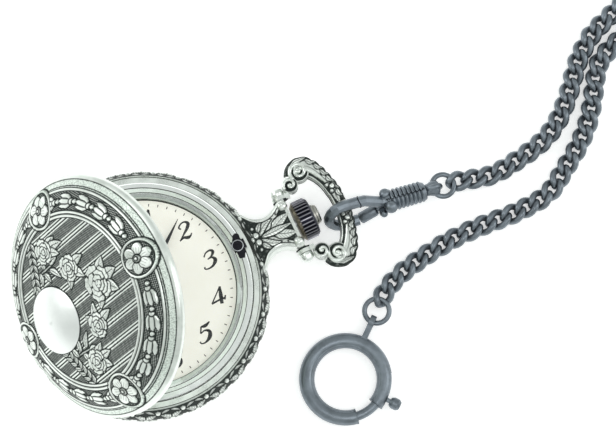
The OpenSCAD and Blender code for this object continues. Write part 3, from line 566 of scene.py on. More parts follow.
class Relief:
    """Raised ornament on a plane: height, dark patina and hatched ground at each point."""

    def __init__(self, x, y):
        self.x, self.y = x, y
        self.height = np.zeros(x.shape)
        self.dark = np.zeros(x.shape)
        self.ground = np.ones(x.shape)

    def stamp(self, edge, height, dark=0.0, soft=0.14, outline=0.34):
        """Lay a motif down: edge is the distance inside its outline in millimetres."""
        near = edge > -outline
        if not near.any():
            return
        w = smoothstep(edge, 0, soft)
        line = band(edge, -outline, -outline * 0.35, 0, soft * 0.5)
        self.height = np.where(edge > 0, self.height * (1 - w) + height * w, self.height)
        self.dark = np.where(near, self.dark * (1 - w) + dark * w, self.dark)
        self.dark = np.maximum(self.dark, line * 0.95)
        self.ground = self.ground * (1 - smoothstep(edge, -outline, 0))

    def local(self, at, turn=0.0):
        """The plane's points as seen from a place on it, along the direction turn."""
        dx, dy = self.x - at[0], self.y - at[1]
        c, s = math.cos(math.radians(turn)), math.sin(math.radians(turn))
        return dx * c + dy * s, -dx * s + dy * c

    def disc(self, at, r, height, crown=0.0):
        """A round bead that rises by crown towards its middle."""
        d = np.hypot(*self.local(at))
        self.stamp(r - d, height + crown * np.sqrt(np.clip(1 - (d / r) ** 2, 0, 1)))

    def leaf(self, start, end, width, bend=0.0, height=0.22, veins=True):
        """A pointed leaf from its stalk to its tip, bent to one side."""
        start, end = np.asarray(start, float), np.asarray(end, float)
        long = np.linalg.norm(end - start)
        turn = math.degrees(math.atan2(end[1] - start[1], end[0] - start[0]))
        a, b = self.local(start, turn)
        t = np.clip(a / long, 0, 1)
        b = b - bend * long * 4 * t * (1 - t)
        half = width / 2 * np.sin(np.pi * t**0.72) ** 0.85
        past = np.maximum(np.maximum(-a, a - long), 0)
        edge = np.where(past > 0, -np.hypot(past, b), np.minimum(half - np.abs(b), 0.6))
        crown = np.sqrt(np.clip(1 - (b / np.maximum(half, 0.01)) ** 2, 0, 1))
        rib = 1 - smoothstep(np.abs(b), 0.04, 0.13)
        dark = 0.75 * rib * (t < 0.86)
        if veins:
            side = smoothstep(np.sin((a - np.abs(b) * 1.1) * 2 * np.pi / 0.62), 0.45, 0.95)
            dark = np.maximum(dark, 0.55 * side * smoothstep(np.abs(b), 0.06, 0.2))
        self.stamp(edge, height * (0.55 + 0.45 * crown) - 0.05 * rib, dark)

    def rose(self, at, r, turn):
        """Layers of ruffled petals about an open heart."""
        for k, (size, count, shift) in enumerate(ROSE_LAYERS):
            dx, dy = self.local((at[0] + 0.036 * r * k, at[1] - 0.024 * r * k), turn)
            d, a = np.hypot(dx, dy), np.arctan2(dy, dx)
            lobe = np.abs(np.cos(count / 2 * a + shift * np.pi))
            bound = r * size * (0.82 + 0.18 * lobe**0.6 + 0.03 * np.cos(count * 3 * a + k))
            t = np.clip(d / bound, 0, 1)
            cup = 0.16 + 0.085 * k + 0.10 * t**3
            split = (1 - smoothstep(lobe, 0.10, 0.34)) * smoothstep(t, 0.2, 0.5)
            fold = smoothstep(np.sin(a * count * 4 + k) * t, 0.55, 0.95) * (t > 0.5)
            dark = 0.95 * split + 0.3 * fold
            self.stamp(bound - d, cup - 0.05 * split, dark, soft=0.10, outline=0.22 if k else 0.32)

    def flower(self, at, r, turn):
        """Six round petals about a stud."""
        for k in range(6):
            dx, dy = self.local(np.add(at, polar(0.60 * r, turn + 60 * k)), turn + 60 * k)
            edge = 0.34 * r - np.hypot(dx / 1.15, dy)
            ray = smoothstep(np.cos(dy * 2 * np.pi / 0.5), 0.6, 0.95) * (dx < 0.1 * r)
            self.stamp(edge, 0.24 + 0.10 * np.clip(dx / r, -0.4, 0.3), 0.45 * ray, soft=0.12, outline=0.2)
        self.disc(at, 0.24 * r, 0.34, 0.12)
        self.disc(at, 0.10 * r, 0.30, 0.22)

    def bell(self, at, turn, size):
        """A bead with a bell of three petals hanging from it, along the direction turn."""
        a, b = self.local(at, turn)
        a, b = a / size, b / size
        half = 0.05 + 0.27 * smoothstep(a, -0.05, 0.52) - 0.04 * smoothstep(a, 0.75, 1.0)
        tip = 0.90 + 0.10 * np.cos(b * 2 * np.pi / 0.27)
        edge = np.minimum(np.minimum(half - np.abs(b), (tip - a) * 0.8), a) * size
        share = np.abs(b) / half
        split = (1 - smoothstep(np.abs(share - 0.40), 0.05, 0.17)) * smoothstep(a, 0.18, 0.34)
        crest = np.sqrt(np.clip(1 - (share * 0.95) ** 2, 0, 1))
        self.stamp(edge, 0.14 + 0.20 * crest - 0.06 * split, 0.8 * split, soft=0.10, outline=0.22)
        self.disc(np.add(at, polar(0.15 * size, turn)), 0.125 * size, 0.30, 0.06)
        self.disc(np.add(at, polar(-0.05 * size, turn)), 0.105 * size, 0.22, 0.16)

    def spray(self, start, end, pairs, size):
        """Small leaves in pairs along a stem."""
        start, end = np.asarray(start, float), np.asarray(end, float)
        along = unit(end - start)
        across = np.array([-along[1], along[0]])
        for k in range(pairs):
            root = start + (end - start) * (k + 0.2) / pairs
            for side in (-1, 1):
                tip = root + along * size * 0.80 + across * side * size * 0.55
                self.leaf(root + across * side * 0.05, tip, size * 0.40, side * 0.1)
        self.leaf(end - along * size * 0.2, end + along * size * 0.8, size * 0.42)


def lid_ornament(x, y):
    """Height above the seat, patina and hatching of the lid's face at points of the closed lid."""
    r = np.hypot(x, y)
    art = Relief(x, y)
    # stripes over the middle field, running from the hinge to the pendant
    across = y * math.cos(STRIPE_TURN) + x * math.sin(STRIPE_TURN)
    stripe = np.abs((across / STRIPE_PITCH + 0.5) % 1 - 0.5) * STRIPE_PITCH
    field = 1 - smoothstep(r, RING_AT_R - 0.6, RING_AT_R - 0.5)
    art.ground = art.ground * (1 - field * (1 - smoothstep(stripe, 0.62, 0.72)))
    art.dark = field * band(stripe, 0.14, 0.2, 0.40, 0.46) * 0.95
    art.height = field * 0.05 * (1 - smoothstep(stripe, 0.1, 0.2))
    # leaf ropes from the border to the boss, and sprays beside the end roses
    for side in (-1, 1):
        art.spray((-5.5, side * 14.6), (-9.2, side * 6.1), 7, 1.9)
        for tip, bend in (((-0.2, 9.0), 0.08), ((-1.4, 5.6), -0.1)):
            art.leaf((-6.6, side * 8.4), (tip[0] - 1.2, side * (tip[1] * 0.6 + 3.2)), 0.34, 0, 0.16, False)
        for stem, tip in (
            ((-2.6, 8.8), (-0.2, 9.2)), ((-3.2, 8.0), (-1.2, 5.5)), ((-5.0, 8.0), (-4.3, 5.9)),
            ((-4.6, 8.7), (-4.1, 10.6)), ((-6.2, 8.6), (-6.9, 6.3)),
        ):
            art.leaf((stem[0], side * stem[1]), (tip[0], side * tip[1]), 1.15, 0.08)
    for (rx, ry, size, _, tips) in ROSES:
        heart = np.array([rx, ry])
        for reach in np.array(tips) - heart:
            art.leaf(heart + unit(reach) * size * 0.40, heart + reach * 1.10, size * 0.50 + 0.55, 0.05)
    for (rx, ry, size, turn, _) in ROSES:
        art.rose((rx, ry), size, turn)
    # border ring, band of bellflowers and outer border
    for middle in (RING_AT_R - 0.35, RING_AT_R + 0.35):
        art.stamp(0.27 - np.abs(r - middle), 0.26, soft=0.12, outline=0.16)
    for quarter in range(4):
        step = 1 if quarter in (0, 2) else -1
        for k in range(5):
            at_angle = quarter * 90 + 45 + step * (-29.6 + 14.4 * k)
            art.bell(polar(MEDAL_R, at_angle), at_angle + 94 * step, 3.9)
    past = r - BORDER_R
    art.stamp(0.22 - np.abs(past), 0.14, soft=0.1, outline=0.18)
    flange = smoothstep(past, 0.2, 0.4)
    art.ground = art.ground * (1 - flange)
    line, brim = band(past, 0.40, 0.48, 0.58, 0.66), band(r, 22.02, 22.1, 22.2, 22.28)
    art.dark = np.maximum(art.dark * (1 - flange), np.maximum(line * 0.85, brim * 0.8))
    z = dome(r) + art.height
    # medallions stand level over the falling shoulder
    for turn in MEDAL_TURNS:
        at = polar(MEDAL_R, turn)
        medal = Relief(x, y)
        along, across = medal.local(at, turn)
        d = np.hypot(along, across)
        medal.stamp(0.25 - np.abs(d - (MEDAL_SIZE - 0.25)), 0.16, soft=0.15, outline=0.2)
        medal.flower(at, MEDAL_SIZE - 0.75, turn + 8)
        inside = MEDAL_SIZE - d
        w = smoothstep(inside, 0, 0.16)
        plane = MEDAL_Z - 0.36 * along - 0.055 * along**2 - 0.012 * across**2
        z = np.where(inside > 0, z * (1 - w) + (plane + medal.height) * w, z)
        rim = band(inside, -0.22, -0.08, 0, 0.05)
        art.dark = np.where(inside > 0, medal.dark, np.maximum(art.dark, rim * 0.9))
        art.ground = np.where(inside > 0, medal.ground, art.ground * (1 - smoothstep(inside, -0.2, 0)))
    # the boss sits in a dark seam
    seam = np.hypot(x - BOSS_AT[0], y - BOSS_AT[1]) - BOSS_SIZE
    z = np.where(seam < 0.35, np.minimum(z, dome(r) + 0.02 + np.clip(seam, 0, 1)), z)
    art.dark = np.maximum(art.dark, 1 - smoothstep(seam, 0.12, 0.3))
    return z, np.clip(art.dark, 0, 1), art.ground, flange * (1 - smoothstep(r, 22.05, 22.25))


def notched(points):
    """Keeps the lid's rim clear of the case's two hinge knuckles; points are of the closed lid."""
    x, y, z = points[:, 0], points[:, 1], points[:, 2]
    beside = np.abs(np.abs(y) - CASE_KNUCKLE_Y) < CASE_KNUCKLE_HALF
    clear = HINGE[0] + KNUCKLE_R + 0.2
    points[beside & (z < HINGE[2] + 0.6) & (x < clear), 0] = clear
    return points


def blurred(z, reach=2):
    """Mean of the neighbouring heights on a grid."""
    out = z.copy()
    for axis in (0, 1):
        out = sum(np.roll(out, k, axis) for k in range(-reach, reach + 1)) / (2 * reach + 1)
    inner = np.zeros(z.shape, bool)
    inner[reach:-reach, reach:-reach] = True
    return np.where(inner, out, z)


def lid_piece(shape, name, material=mat_relief, **settings):
    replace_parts(shape.piece(name, material, "lid", "case_silver", OPENED, **settings), "front_lid")


def make_lid_field():
    """Middle of the lid: a square grid mapped to a disc, closed below by rings."""
    n = FIELD_GRID
    a, b = np.meshgrid(np.linspace(-1, 1, n), np.linspace(-1, 1, n), indexing="ij")
    x = FIELD_R * a * np.sqrt(1 - b * b / 2)
    y = FIELD_R * b * np.sqrt(1 - a * a / 2)
    z, dark, ground, _ = lid_ornament(x, y)
    dark = np.clip(dark + (blurred(z) - z) * 5, 0, 1)
    shape = Shape()
    shape.add(
        np.stack([x, y, z + LID_SEAT], -1), grid_faces(n, n),
        dark=dark.ravel(), ground=ground.ravel(), hx=x.ravel(), hy=y.ravel(),
    )
    previous = edge_loop(n, n)
    turns = np.arctan2(y.ravel()[previous], x.ravel()[previous])
    count = len(turns)
    k = np.arange(count)
    for radius, low in [(FIELD_R, 3.72), (13, 4.0), (10, 4.14), (7, 4.25), (3.5, 4.32), (0.4, 4.35)]:
        start = shape.count
        ring = around(np.array([radius]), turns, low + LID_SEAT)
        faces = np.column_stack([previous - start, k, (k + 1) % count, np.roll(previous, -1) - start])
        shape.add(ring, faces)
        previous = start + k
    shape.faces.append(tuple(previous.tolist()))
    lid_piece(shape, "lid_field")


def make_lid_shoulder():
    """Ring of ornament, the flange, the turned-down rim and the inside, round in one closed sweep."""
    turns = np.linspace(0, 2 * np.pi, 1100, endpoint=False)
    line = LID_LINE[LID_LINE[:, 0] >= FIELD_R - 0.5]
    start = np.interp(FIELD_R, line[:, 0], arc_length(line))
    outside = at_length(line, np.linspace(start, arc_length(line)[-1], 76))
    inside = np.array([p for p in LID_INSIDE if p[0] > FIELD_R] + [(FIELD_R, 3.72)])
    top = around(outside[:, 0], turns, outside[:, 1])
    z, dark, ground, flange = lid_ornament(top[..., 0], top[..., 1])
    top[..., 2] = np.where(outside[:, 0] < 22.4, z, np.maximum(top[..., 2], 0))
    dark = np.clip(dark + np.clip(blurred(top[..., 2]) - top[..., 2], 0, 1) * 4, 0, 1)
    points = np.concatenate([top, around(inside[:, 0], turns, inside[:, 1])], axis=1)
    values = {
        name: np.pad(value, ((0, 0), (0, len(inside)))).ravel()
        for name, value in {"dark": dark, "ground": ground, "flange": flange}.items()
    }
    shape = Shape()
    shape.add(
        notched(points.reshape(-1, 3) + (0, 0, LID_SEAT)),
        grid_faces(*points.shape[:2], wrap_rows=True, wrap_cols=True)[:, ::-1],
        hx=points[..., 0].ravel(), hy=points[..., 1].ravel(), **values,
    )
    lid_piece(shape, "lid_shoulder")


def make_lid_knuckle():
    """Knuckle on the hinge pin, with its foot on the rim and its ends a little smaller."""
    outline = [(HINGE[0] + x, HINGE[2] + z) for x, z in (polar(KNUCKLE_R, t) for t in range(90, 301, 15))]
    outline += [(-22.85, 9.25), (-22.8, 9.95), (-23.1, 10.0)]
    ends = np.array([[(x, y, z) for (x, z) in outline] for y in (-1.5, -1.42, 1.42, 1.5)])
    for k in (0, 3):
        middle = ends[k].mean(axis=0)
        ends[k] = middle + (ends[k] - middle) * 0.93
    count = len(outline)
    faces = [tuple(f) for f in grid_faces(4, count, wrap_cols=True)]
    faces += [tuple(range(count))[::-1], tuple(range(3 * count, 4 * count))]
    lid_piece(Shape().add(ends, faces, dark=0.2), "lid_knuckle", mat_satin, flat_angle=40)


make_lid_field()
make_lid_shoulder()
make_lid_knuckle()


# ---- case band, seams and pendant
CASE_R = 24.0
BAND_PROFILE = [
    (22.62, 9.3), (22.85, 9.1), (23.35, 8.0), (23.8, 6.6), (24.0, 5.3), (24.0, 4.3), (23.8, 3.3), (23.2, 2.6),
    (22.2, 2.2),
]
BAND_UNITS = 30
PENDANT_PLAN = [(22.4, 6.9), (23.6, 5.6), (25, 4.1), (26.8, 3.4), (28.6, 3.6), (30.2, 4.5), (31, 5.0)]
PENDANT_SIDE = [(22.4, 3.0), (24.5, 2.5), (27.5, 2.3), (30, 2.6), (31, 2.8)]
PENDANT_END = 32.2


def make_case_band():
    """Leaves and beads chased into a dark ground round the case."""
    line = smooth_line(BAND_PROFILE, 8)
    long = arc_length(line)[-1]
    rows = at_length(line, np.linspace(0, long, 64))
    turns = np.linspace(0, 2 * np.pi, 1260, endpoint=False)
    along = np.broadcast_to((turns * CASE_R)[:, None], (len(turns), len(rows)))
    down = np.broadcast_to(np.linspace(0, long, len(rows))[None, :], along.shape)
    pitch = 2 * np.pi * CASE_R / BAND_UNITS
    art = Relief((along / pitch) % 1 * pitch - pitch / 2, down.copy())
    mid = long / 2
    for rise in (-1, 1):
        for side in (-1, 1):
            hand = side * rise
            art.leaf((side * 0.2, mid), (side * 2.1, mid + rise * 2.0), 1.35, hand * 0.14, 0.30)
            root, tip = (side * 0.1, mid + rise * 3.5), (side * 1.8, mid + rise * 2.3)
            art.leaf(root, tip, 0.62, hand * 0.12, 0.16, False)
            art.disc((side * pitch / 2, mid + rise * 2.9), 0.52, 0.24, 0.24)
    art.disc((0, mid), 0.58, 0.26, 0.16)
    border = np.minimum(down, long - down)
    art.stamp(0.16 - border, 0.10, soft=0.08, outline=0.25)
    raise_by = 0.03 + art.height * smoothstep(border, 0.1, 0.4)
    step = np.gradient(rows, axis=0)
    normal = unit(np.stack([-step[:, 1], step[:, 0]], axis=-1))
    if normal[len(rows) // 2, 0] < 0:
        normal = -normal
    under_z = np.clip(rows[::-8, 1], 2.3, 9.2)
    points = np.concatenate([
        around(rows[:, 0] + normal[:, 0] * raise_by, turns, rows[:, 1] + normal[:, 1] * raise_by),
        around(rows[::-8, 0] - 0.15, turns, under_z),
    ], axis=1)
    dark = np.pad(np.clip(art.dark + art.ground, 0, 1), ((0, 0), (0, len(under_z))))
    faces = grid_faces(*points.shape[:2], wrap_rows=True, wrap_cols=True)
    Shape().add(points, faces, dark=dark.ravel()).piece("case_band", mat_silver, "case", "case_silver")


def make_seams():
    """Dark lines where the rings of the case meet: inner and outer radius and the two heights."""
    for k, (low, high, low_z, high_z) in enumerate([
        (17.95, 18.19, 8.715, 8.715), (19.21, 19.33, 10.075, 10.11), (20.06, 20.2, 10.34, 10.47),
        (21.21, 21.40, 9.315, 9.315), (22.40, 22.52, 9.315, 9.31),
    ]):
        outline = [(low, low_z), (high, high_z), (high, high_z - 0.03), (low, low_z - 0.03)]
        shape = Shape().lathe(outline, moved((0, 0, 0)), steps=240)
        shape.piece(f"seam_{k}", mat_seam, "case", "blackened_steel")


def ball(shape, at, r, squash=1.0, steps=20):
    """A round or flattened bead."""
    a = np.linspace(-np.pi / 2, np.pi / 2, 9)
    outline = np.column_stack([np.maximum(r * np.cos(a), 1e-3), r * squash * np.sin(a)])
    return shape.lathe(outline, moved(at), steps=steps)


def make_pendant():
    """Chased faces of the pendant: rims along its sides and leaves spreading from two beads."""
    plan, side_line = smooth_line(PENDANT_PLAN, 8), smooth_line(PENDANT_SIDE, 8)
    xs = np.linspace(23.2, PENDANT_END - 0.05, 100)
    across = np.linspace(-1, 1, 120)
    half = np.interp(xs, plan[:, 0], plan[:, 1])[:, None]
    lift = np.interp(xs, side_line[:, 0], side_line[:, 1])[:, None]
    x = np.broadcast_to(xs[:, None], (len(xs), len(across))).copy()
    y = half * across[None, :]
    art = Relief(x, y)
    for sign in (-1, 1):
        for start, tip, width, bend in (
            ((26.0, 0.6), (31.3, 3.7), 2.2, 0.12), ((27.6, 0.2), (32.1, 2.0), 1.9, 0.06),
            ((25.0, 0.4), (28.4, 2.4), 1.3, 0.12), ((24.9, 1.1), (26.4, 2.8), 0.9, 0.1),
            ((29.6, 2.9), (31.4, 4.6), 1.0, 0.1),
        ):
            art.leaf((start[0], sign * start[1]), (tip[0], sign * tip[1]), width, sign * bend, 0.26)
        art.disc((24.35, sign * 0.72), 0.62, 0.24, 0.2)
        art.disc((24.2, sign * 2.2), 0.34, 0.2, 0.12)
    art.leaf((25.3, 0), (31.8, 0), 1.3, 0, 0.3)
    border = half - np.abs(y)
    art.stamp(0.75 - border, 0.20, soft=0.15, outline=0.25)
    dark = np.clip(art.dark + 0.85 * art.ground, 0, 1).ravel()
    n, m = x.shape
    loop = edge_loop(n, m)
    shape = Shape()
    for face in (1, -1):
        fall = 0.45 * (1 - smoothstep(border, 0.0, 0.55))
        fall = fall + 0.7 * smoothstep(x, PENDANT_END - 0.9, PENDANT_END) ** 2
        z = AXIS_Z + face * (lift + 0.04 + art.height - fall)
        under = np.broadcast_to(AXIS_Z + face * (lift - 0.6), z.shape)
        top = np.stack([x, y, z], -1).reshape(-1, 3)
        low = np.stack([x, y * 0.995, under], -1).reshape(-1, 3)
        faces = grid_faces(n, m).tolist()
        faces += [tuple(v + n * m for v in f[::-1]) for f in faces]
        faces += [(a, b, b + n * m, a + n * m) for a, b in zip(loop, np.roll(loop, -1))]
        if face < 0:
            faces = [tuple(f)[::-1] for f in faces]
        shape.add(np.vstack([top, low]), faces, dark=np.concatenate([dark, dark * 0]))
        for side in (-1, 1):
            ball(shape, (31.35, side * 3.85, AXIS_Z + face * 2.3), 1.15, 0.95, steps=32)
    shape.piece("pendant_chasing", mat_silver, "case", "case_silver")


# ---- dial figures
# Strokes of each figure: x, y and width in hundredths of its height
FIGURES = {
    "0": [[(34, 100, 5), (60, 80, 13), (62, 50, 15), (58, 20, 13), (34, 0, 5), (10, 20, 12), (6, 50, 14),
          (10, 80, 12), (34, 100, 5)]],
    "1": [[(28, 80, 3), (46, 100, 5)], [(46, 100, 8), (44, 50, 14), (42, 0, 12)]],
    "2": [[(20, 66, 5), (9, 80, 6), (22, 97, 5), (44, 98, 7), (61, 80, 14), (52, 56, 13), (28, 28, 6),
          (6, 2, 5)], [(6, 4, 5), (28, 12, 9), (50, 2, 14), (66, 5, 7), (73, 18, 4)]],
    "3": [[(6, 76, 5), (18, 95, 5), (42, 99, 8), (57, 84, 13), (46, 63, 7), (24, 54, 3)], [(24, 55, 3),
          (48, 54, 7), (64, 32, 17), (50, 7, 10), (26, 0, 6), (5, 6, 5), (2, 20, 6)]],
    "4": [[(54, 100, 5), (26, 60, 4), (2, 27, 5)], [(0, 25, 7), (40, 27, 7), (78, 25, 8)], [(54, 102, 8),
          (54, 50, 16), (54, 0, 14)], [(72, 14, 5), (78, 38, 5)]],
    "5": [[(18, 97, 5), (42, 92, 14), (68, 103, 4)], [(19, 97, 6), (12, 60, 5)], [(12, 60, 4), (36, 67, 6),
          (60, 50, 14), (58, 20, 17), (34, 0, 7), (10, 3, 5), (3, 17, 6)]],
    "6": [[(62, 98, 4), (34, 80, 7), (12, 48, 12), (12, 18, 13), (32, 0, 6), (57, 12, 13), (61, 36, 13),
          (42, 54, 5), (18, 44, 3)]],
    "7": [[(5, 84, 4), (10, 98, 6), (36, 91, 12), (68, 100, 4)], [(68, 100, 5), (42, 55, 10), (28, 0, 15)]],
    "8": [[(34, 54, 5), (14, 72, 10), (18, 94, 6), (36, 100, 5), (54, 90, 10), (50, 68, 8), (34, 54, 5),
          (12, 34, 9), (10, 12, 10), (32, 0, 5), (58, 10, 13), (58, 34, 13), (34, 54, 5)]],
    "9": [[(58, 60, 4), (40, 46, 5), (14, 56, 12), (12, 84, 13), (34, 100, 5), (58, 84, 13), (58, 50, 14),
          (36, 16, 8), (8, 0, 4)]],
}
FIGURE_HEIGHT = 3.15
FIGURE_SLANT = 0.27
FIGURE_RADIUS = 14.4
FIGURE_ADVANCE = 0.60
MINUTE_REACH = (16.85, 17.35)
MINUTE_WIDTH = 0.16
DIAL_TURN = 1.0


def flat_stroke(shape, line, widths, low, high):
    """A flat ribbon of varying width between two heights."""
    ahead = unit(np.gradient(line, axis=0))
    side = np.stack([-ahead[:, 1], ahead[:, 0]], axis=-1) * widths[:, None] / 2
    n = len(line)
    points = np.vstack([
        np.column_stack([edge, np.full(n, z)]) for z in (high, low) for edge in (line + side, line - side)
    ])
    faces = []
    for k in range(n - 1):
        faces += [
            (k, n + k, n + k + 1, k + 1), (2 * n + k, 2 * n + k + 1, 3 * n + k + 1, 3 * n + k),
            (k, k + 1, 2 * n + k + 1, 2 * n + k), (n + k, 3 * n + k, 3 * n + k + 1, n + k + 1),
        ]
    faces += [(0, 2 * n, 3 * n, n), (n - 1, 2 * n - 1, 4 * n - 1, 3 * n - 1)]
    shape.add(points, faces)


def make_figures():
    """Minute strokes and upright hour figures, turned a degree with the dial."""
    shape = Shape()
    low, high = DIAL_Z - 0.005, DIAL_Z + 0.02
    for minute in range(60):
        line = np.array([polar(reach, minute * 6 + DIAL_TURN) for reach in MINUTE_REACH])
        flat_stroke(shape, line, np.array([MINUTE_WIDTH, MINUTE_WIDTH]), low, high)
    turn = rotation("Z", DIAL_TURN)[:2, :2].T
    layer = 0
    for hour in range(1, 13):
        centre = np.array(polar(FIGURE_RADIUS, 90 - hour * 30 + DIAL_TURN))
        text = str(hour)
        for place, letter in enumerate(text):
            shift = (place - (len(text) - 1) / 2) * FIGURE_ADVANCE
            for stroke in FIGURES[letter]:
                p = smooth_line(np.array(stroke) / 100, 8)
                xy = np.column_stack([p[:, 0] - 0.36 + shift, p[:, 1] - 0.5])
                xy[:, 0] += FIGURE_SLANT * xy[:, 1]
                xy = xy * (FIGURE_HEIGHT * 1.2, FIGURE_HEIGHT) @ turn + centre
                # crossing strokes lie at three slightly different heights
                layer += 1
                lift = 0.004 * (layer % 3)
                flat_stroke(shape, xy, (0.02 + 1.32 * p[:, 2]) * FIGURE_HEIGHT, low, high + lift)
    shape.piece("dial_figures", mat_ink, "case", "hand_black")


make_case_band()
make_seams()
make_pendant()
make_figures()


# ---- catch plate, bow and clasp details
BOW_HALF = [
    (33.8, 5.9, 0.7), (34.4, 6.8, 1.2), (35.3, 7.6, 1.45), (36.6, 9.3, 1.8), (38.3, 9.6, 1.9), (40, 7.9, 1.7),
    (41.2, 5.2, 1.4), (41.8, 2.6, 1.4), (42, 0, 1.4),
]
BOW_THICK = 1.2
LOBE_START = 6.2
LOBE_PITCH = 1.55
# Place, radius, wire, turns and first angle of each volute at the bow's foot
VOLUTES = [((34.75, 7.15), 1.4, 0.35, 1.15, 200), ((37.35, 8.85), 1.85, 0.40, 1.6, 215)]
CATCH_OUTLINE = [
    (19.5, -2.4), (20.5, -2.75), (20.9, -2.1), (21.2, -1.7), (21.2, 1.3), (20.7, 2.3), (20.2, 2.2),
    (19.6, 1.1),
]
CATCH_SCREW = (20.25, 0, 0)
SCREW_HEAD = [
    (0.001, 10.30), (1.02, 10.30), (1.05, 10.46), (0.98, 10.55), (0.82, 10.57), (0.76, 10.51), (0.45, 10.50),
    (0.40, 10.55), (0.001, 10.56),
]
SCREW_RIM = [(0.86, 10.46), (1.14, 10.40), (1.14, 10.50), (1.04, 10.56), (0.93, 10.54)]
SLOT_R = 22.78
SLOT_Z = 9.325
SWIVEL_BELL = [
    (0.72, 16.75), (1.12, 16.75), (1.18, 17.1), (1.25, 17.5), (1.42, 17.9), (1.55, 18.3), (1.58, 18.8),
    (1.45, 19.2), (1.15, 19.5), (0.75, 19.65), (0.62, 19.45), (0.62, 18.9), (0.62, 18.2), (0.62, 17.4),
]
GATE_PIVOT = (7.6, -0.9)
GATE_TURN = 24


def bow_height(x):
    return AXIS_Z - 0.025 * (x - LUG_X)


def spiral_points(at, r, turns, start, z, hand):
    t = np.linspace(0, 1, int(28 * turns))
    a = np.radians(start) + hand * 2 * np.pi * turns * t
    return arc(r * (1 - 0.88 * t), a, z) + (at[0], at[1], 0)


def make_catch_plate():
    """Blackened guide plate over the catch, with a round screw whose rim is a ring of lighter steel as a
    painted highlight.
    """
    n = len(CATCH_OUTLINE)
    points = [(x, y, z) for z in (10.43, 10.5) for (x, y) in CATCH_OUTLINE]
    faces = [tuple(range(n))[::-1], tuple(range(n, 2 * n))]
    faces += [(k, (k + 1) % n, n + (k + 1) % n, n + k) for k in range(n)]
    shape = Shape().add(points, faces).lathe(SCREW_HEAD, moved(CATCH_SCREW), steps=40)
    shape.piece("catch_plate", mat_black, "case", "blackened_steel", flat_angle=35)
    # painted highlight: a ring of lighter steel on the screw's rim
    shape = Shape().lathe(SCREW_RIM, moved(CATCH_SCREW), steps=60)
    shape.piece("catch_screw_rim_highlight", mat_steel, "case", "spring_steel", flat_angle=60)


def make_thumb_slot():
    """Dark piece in the slot between the rim of the case and the pendant: painted shade in the slot's hollow.
    """
    n = 60
    a = np.radians(np.linspace(-9, 9, n))
    gap = 0.30 * np.cos(np.linspace(-np.pi / 2, np.pi / 2, n)) ** 0.7 + 0.02
    radius = np.concatenate([SLOT_R - gap, SLOT_R + gap])
    points = np.vstack([arc(radius, np.tile(a, 2), z) for z in (SLOT_Z, SLOT_Z - 0.3)])
    faces = grid_faces(2, n).tolist()
    faces += [tuple(v + 2 * n for v in f[::-1]) for f in faces]
    loop = list(range(n)) + list(range(2 * n - 1, n - 1, -1))
    faces += [(v, w, w + 2 * n, v + 2 * n) for v, w in zip(loop, loop[1:] + loop[:1])]
    # painted shade: a dark piece fills the slot
    Shape().add(points, faces).piece("thumb_slot", mat_seam, "case", "blackened_steel")


def bow_relief(reach, half, v):
    """Rims, leaves and beads along a face of the bow; v runs across it from -1 to 1."""
    long = reach[-1]
    along, across = np.broadcast_to(reach[:, None], (len(reach), len(v))), half * v[None, :]
    art = Relief(along, across.copy())
    art.stamp(0.26 - np.abs(across + half - 0.34), 0.16, soft=0.10, outline=0.20)
    art.leaf((4.4, -0.1), (long - 3.2, 0.0), 1.9, 0.02, 0.26, False)
    art.leaf((long - 3.6, 0.1), (long + 0.5, 0.0), 1.2, 0.0, 0.26)
    for k in range(7):
        at = LOBE_START + LOBE_PITCH * k
        lobe = np.interp(at, reach, half[:, 0])
        art.leaf((at - 0.9, lobe - 0.75), (at + 0.7, lobe - 0.25), 0.75, -0.15, 0.30, False)
    for back, off, size in ((4.1, -0.35, 0.42), (3.4, 0.30, 0.50), (2.6, -0.25, 0.38)):
        art.disc((long - back, off), size, 0.30, 0.20)
    return art


def volute(shape, side, at, r, wire, turns, start):
    """A boss with a coil and a bead on it, on both faces of the bow."""
    centre = np.array([at[0], side * at[1], bow_height(at[0])])
    boss = [
        (0.001, 0.0), (r * 1.10, 0.0), (r * 1.14, 0.95), (r * 1.10, 1.20), (r * 1.02, 1.28),
        (r * 0.96, 1.26), (0.001, 1.26),
    ]
    patina_and_shade = np.tile([0.0, 0.4, 0.2, 0.0, 0.2, 1.0, 1.0, 0.0], 40)
    for face in (-1, 1):
        path = spiral_points(centre, r, turns, side * start, centre[2] + face * (BOW_THICK + 0.20), -side)
        shape.tube(path, np.linspace(wire, wire * 0.8, len(path)), sides=8)
        ball(shape, centre + (0, 0, face * (BOW_THICK + 0.12)), r * 0.27, 0.9)
        shape.lathe(boss, moved(centre, np.diag([1.0, 1.0, float(face)])), steps=40, dark=patina_and_shade)


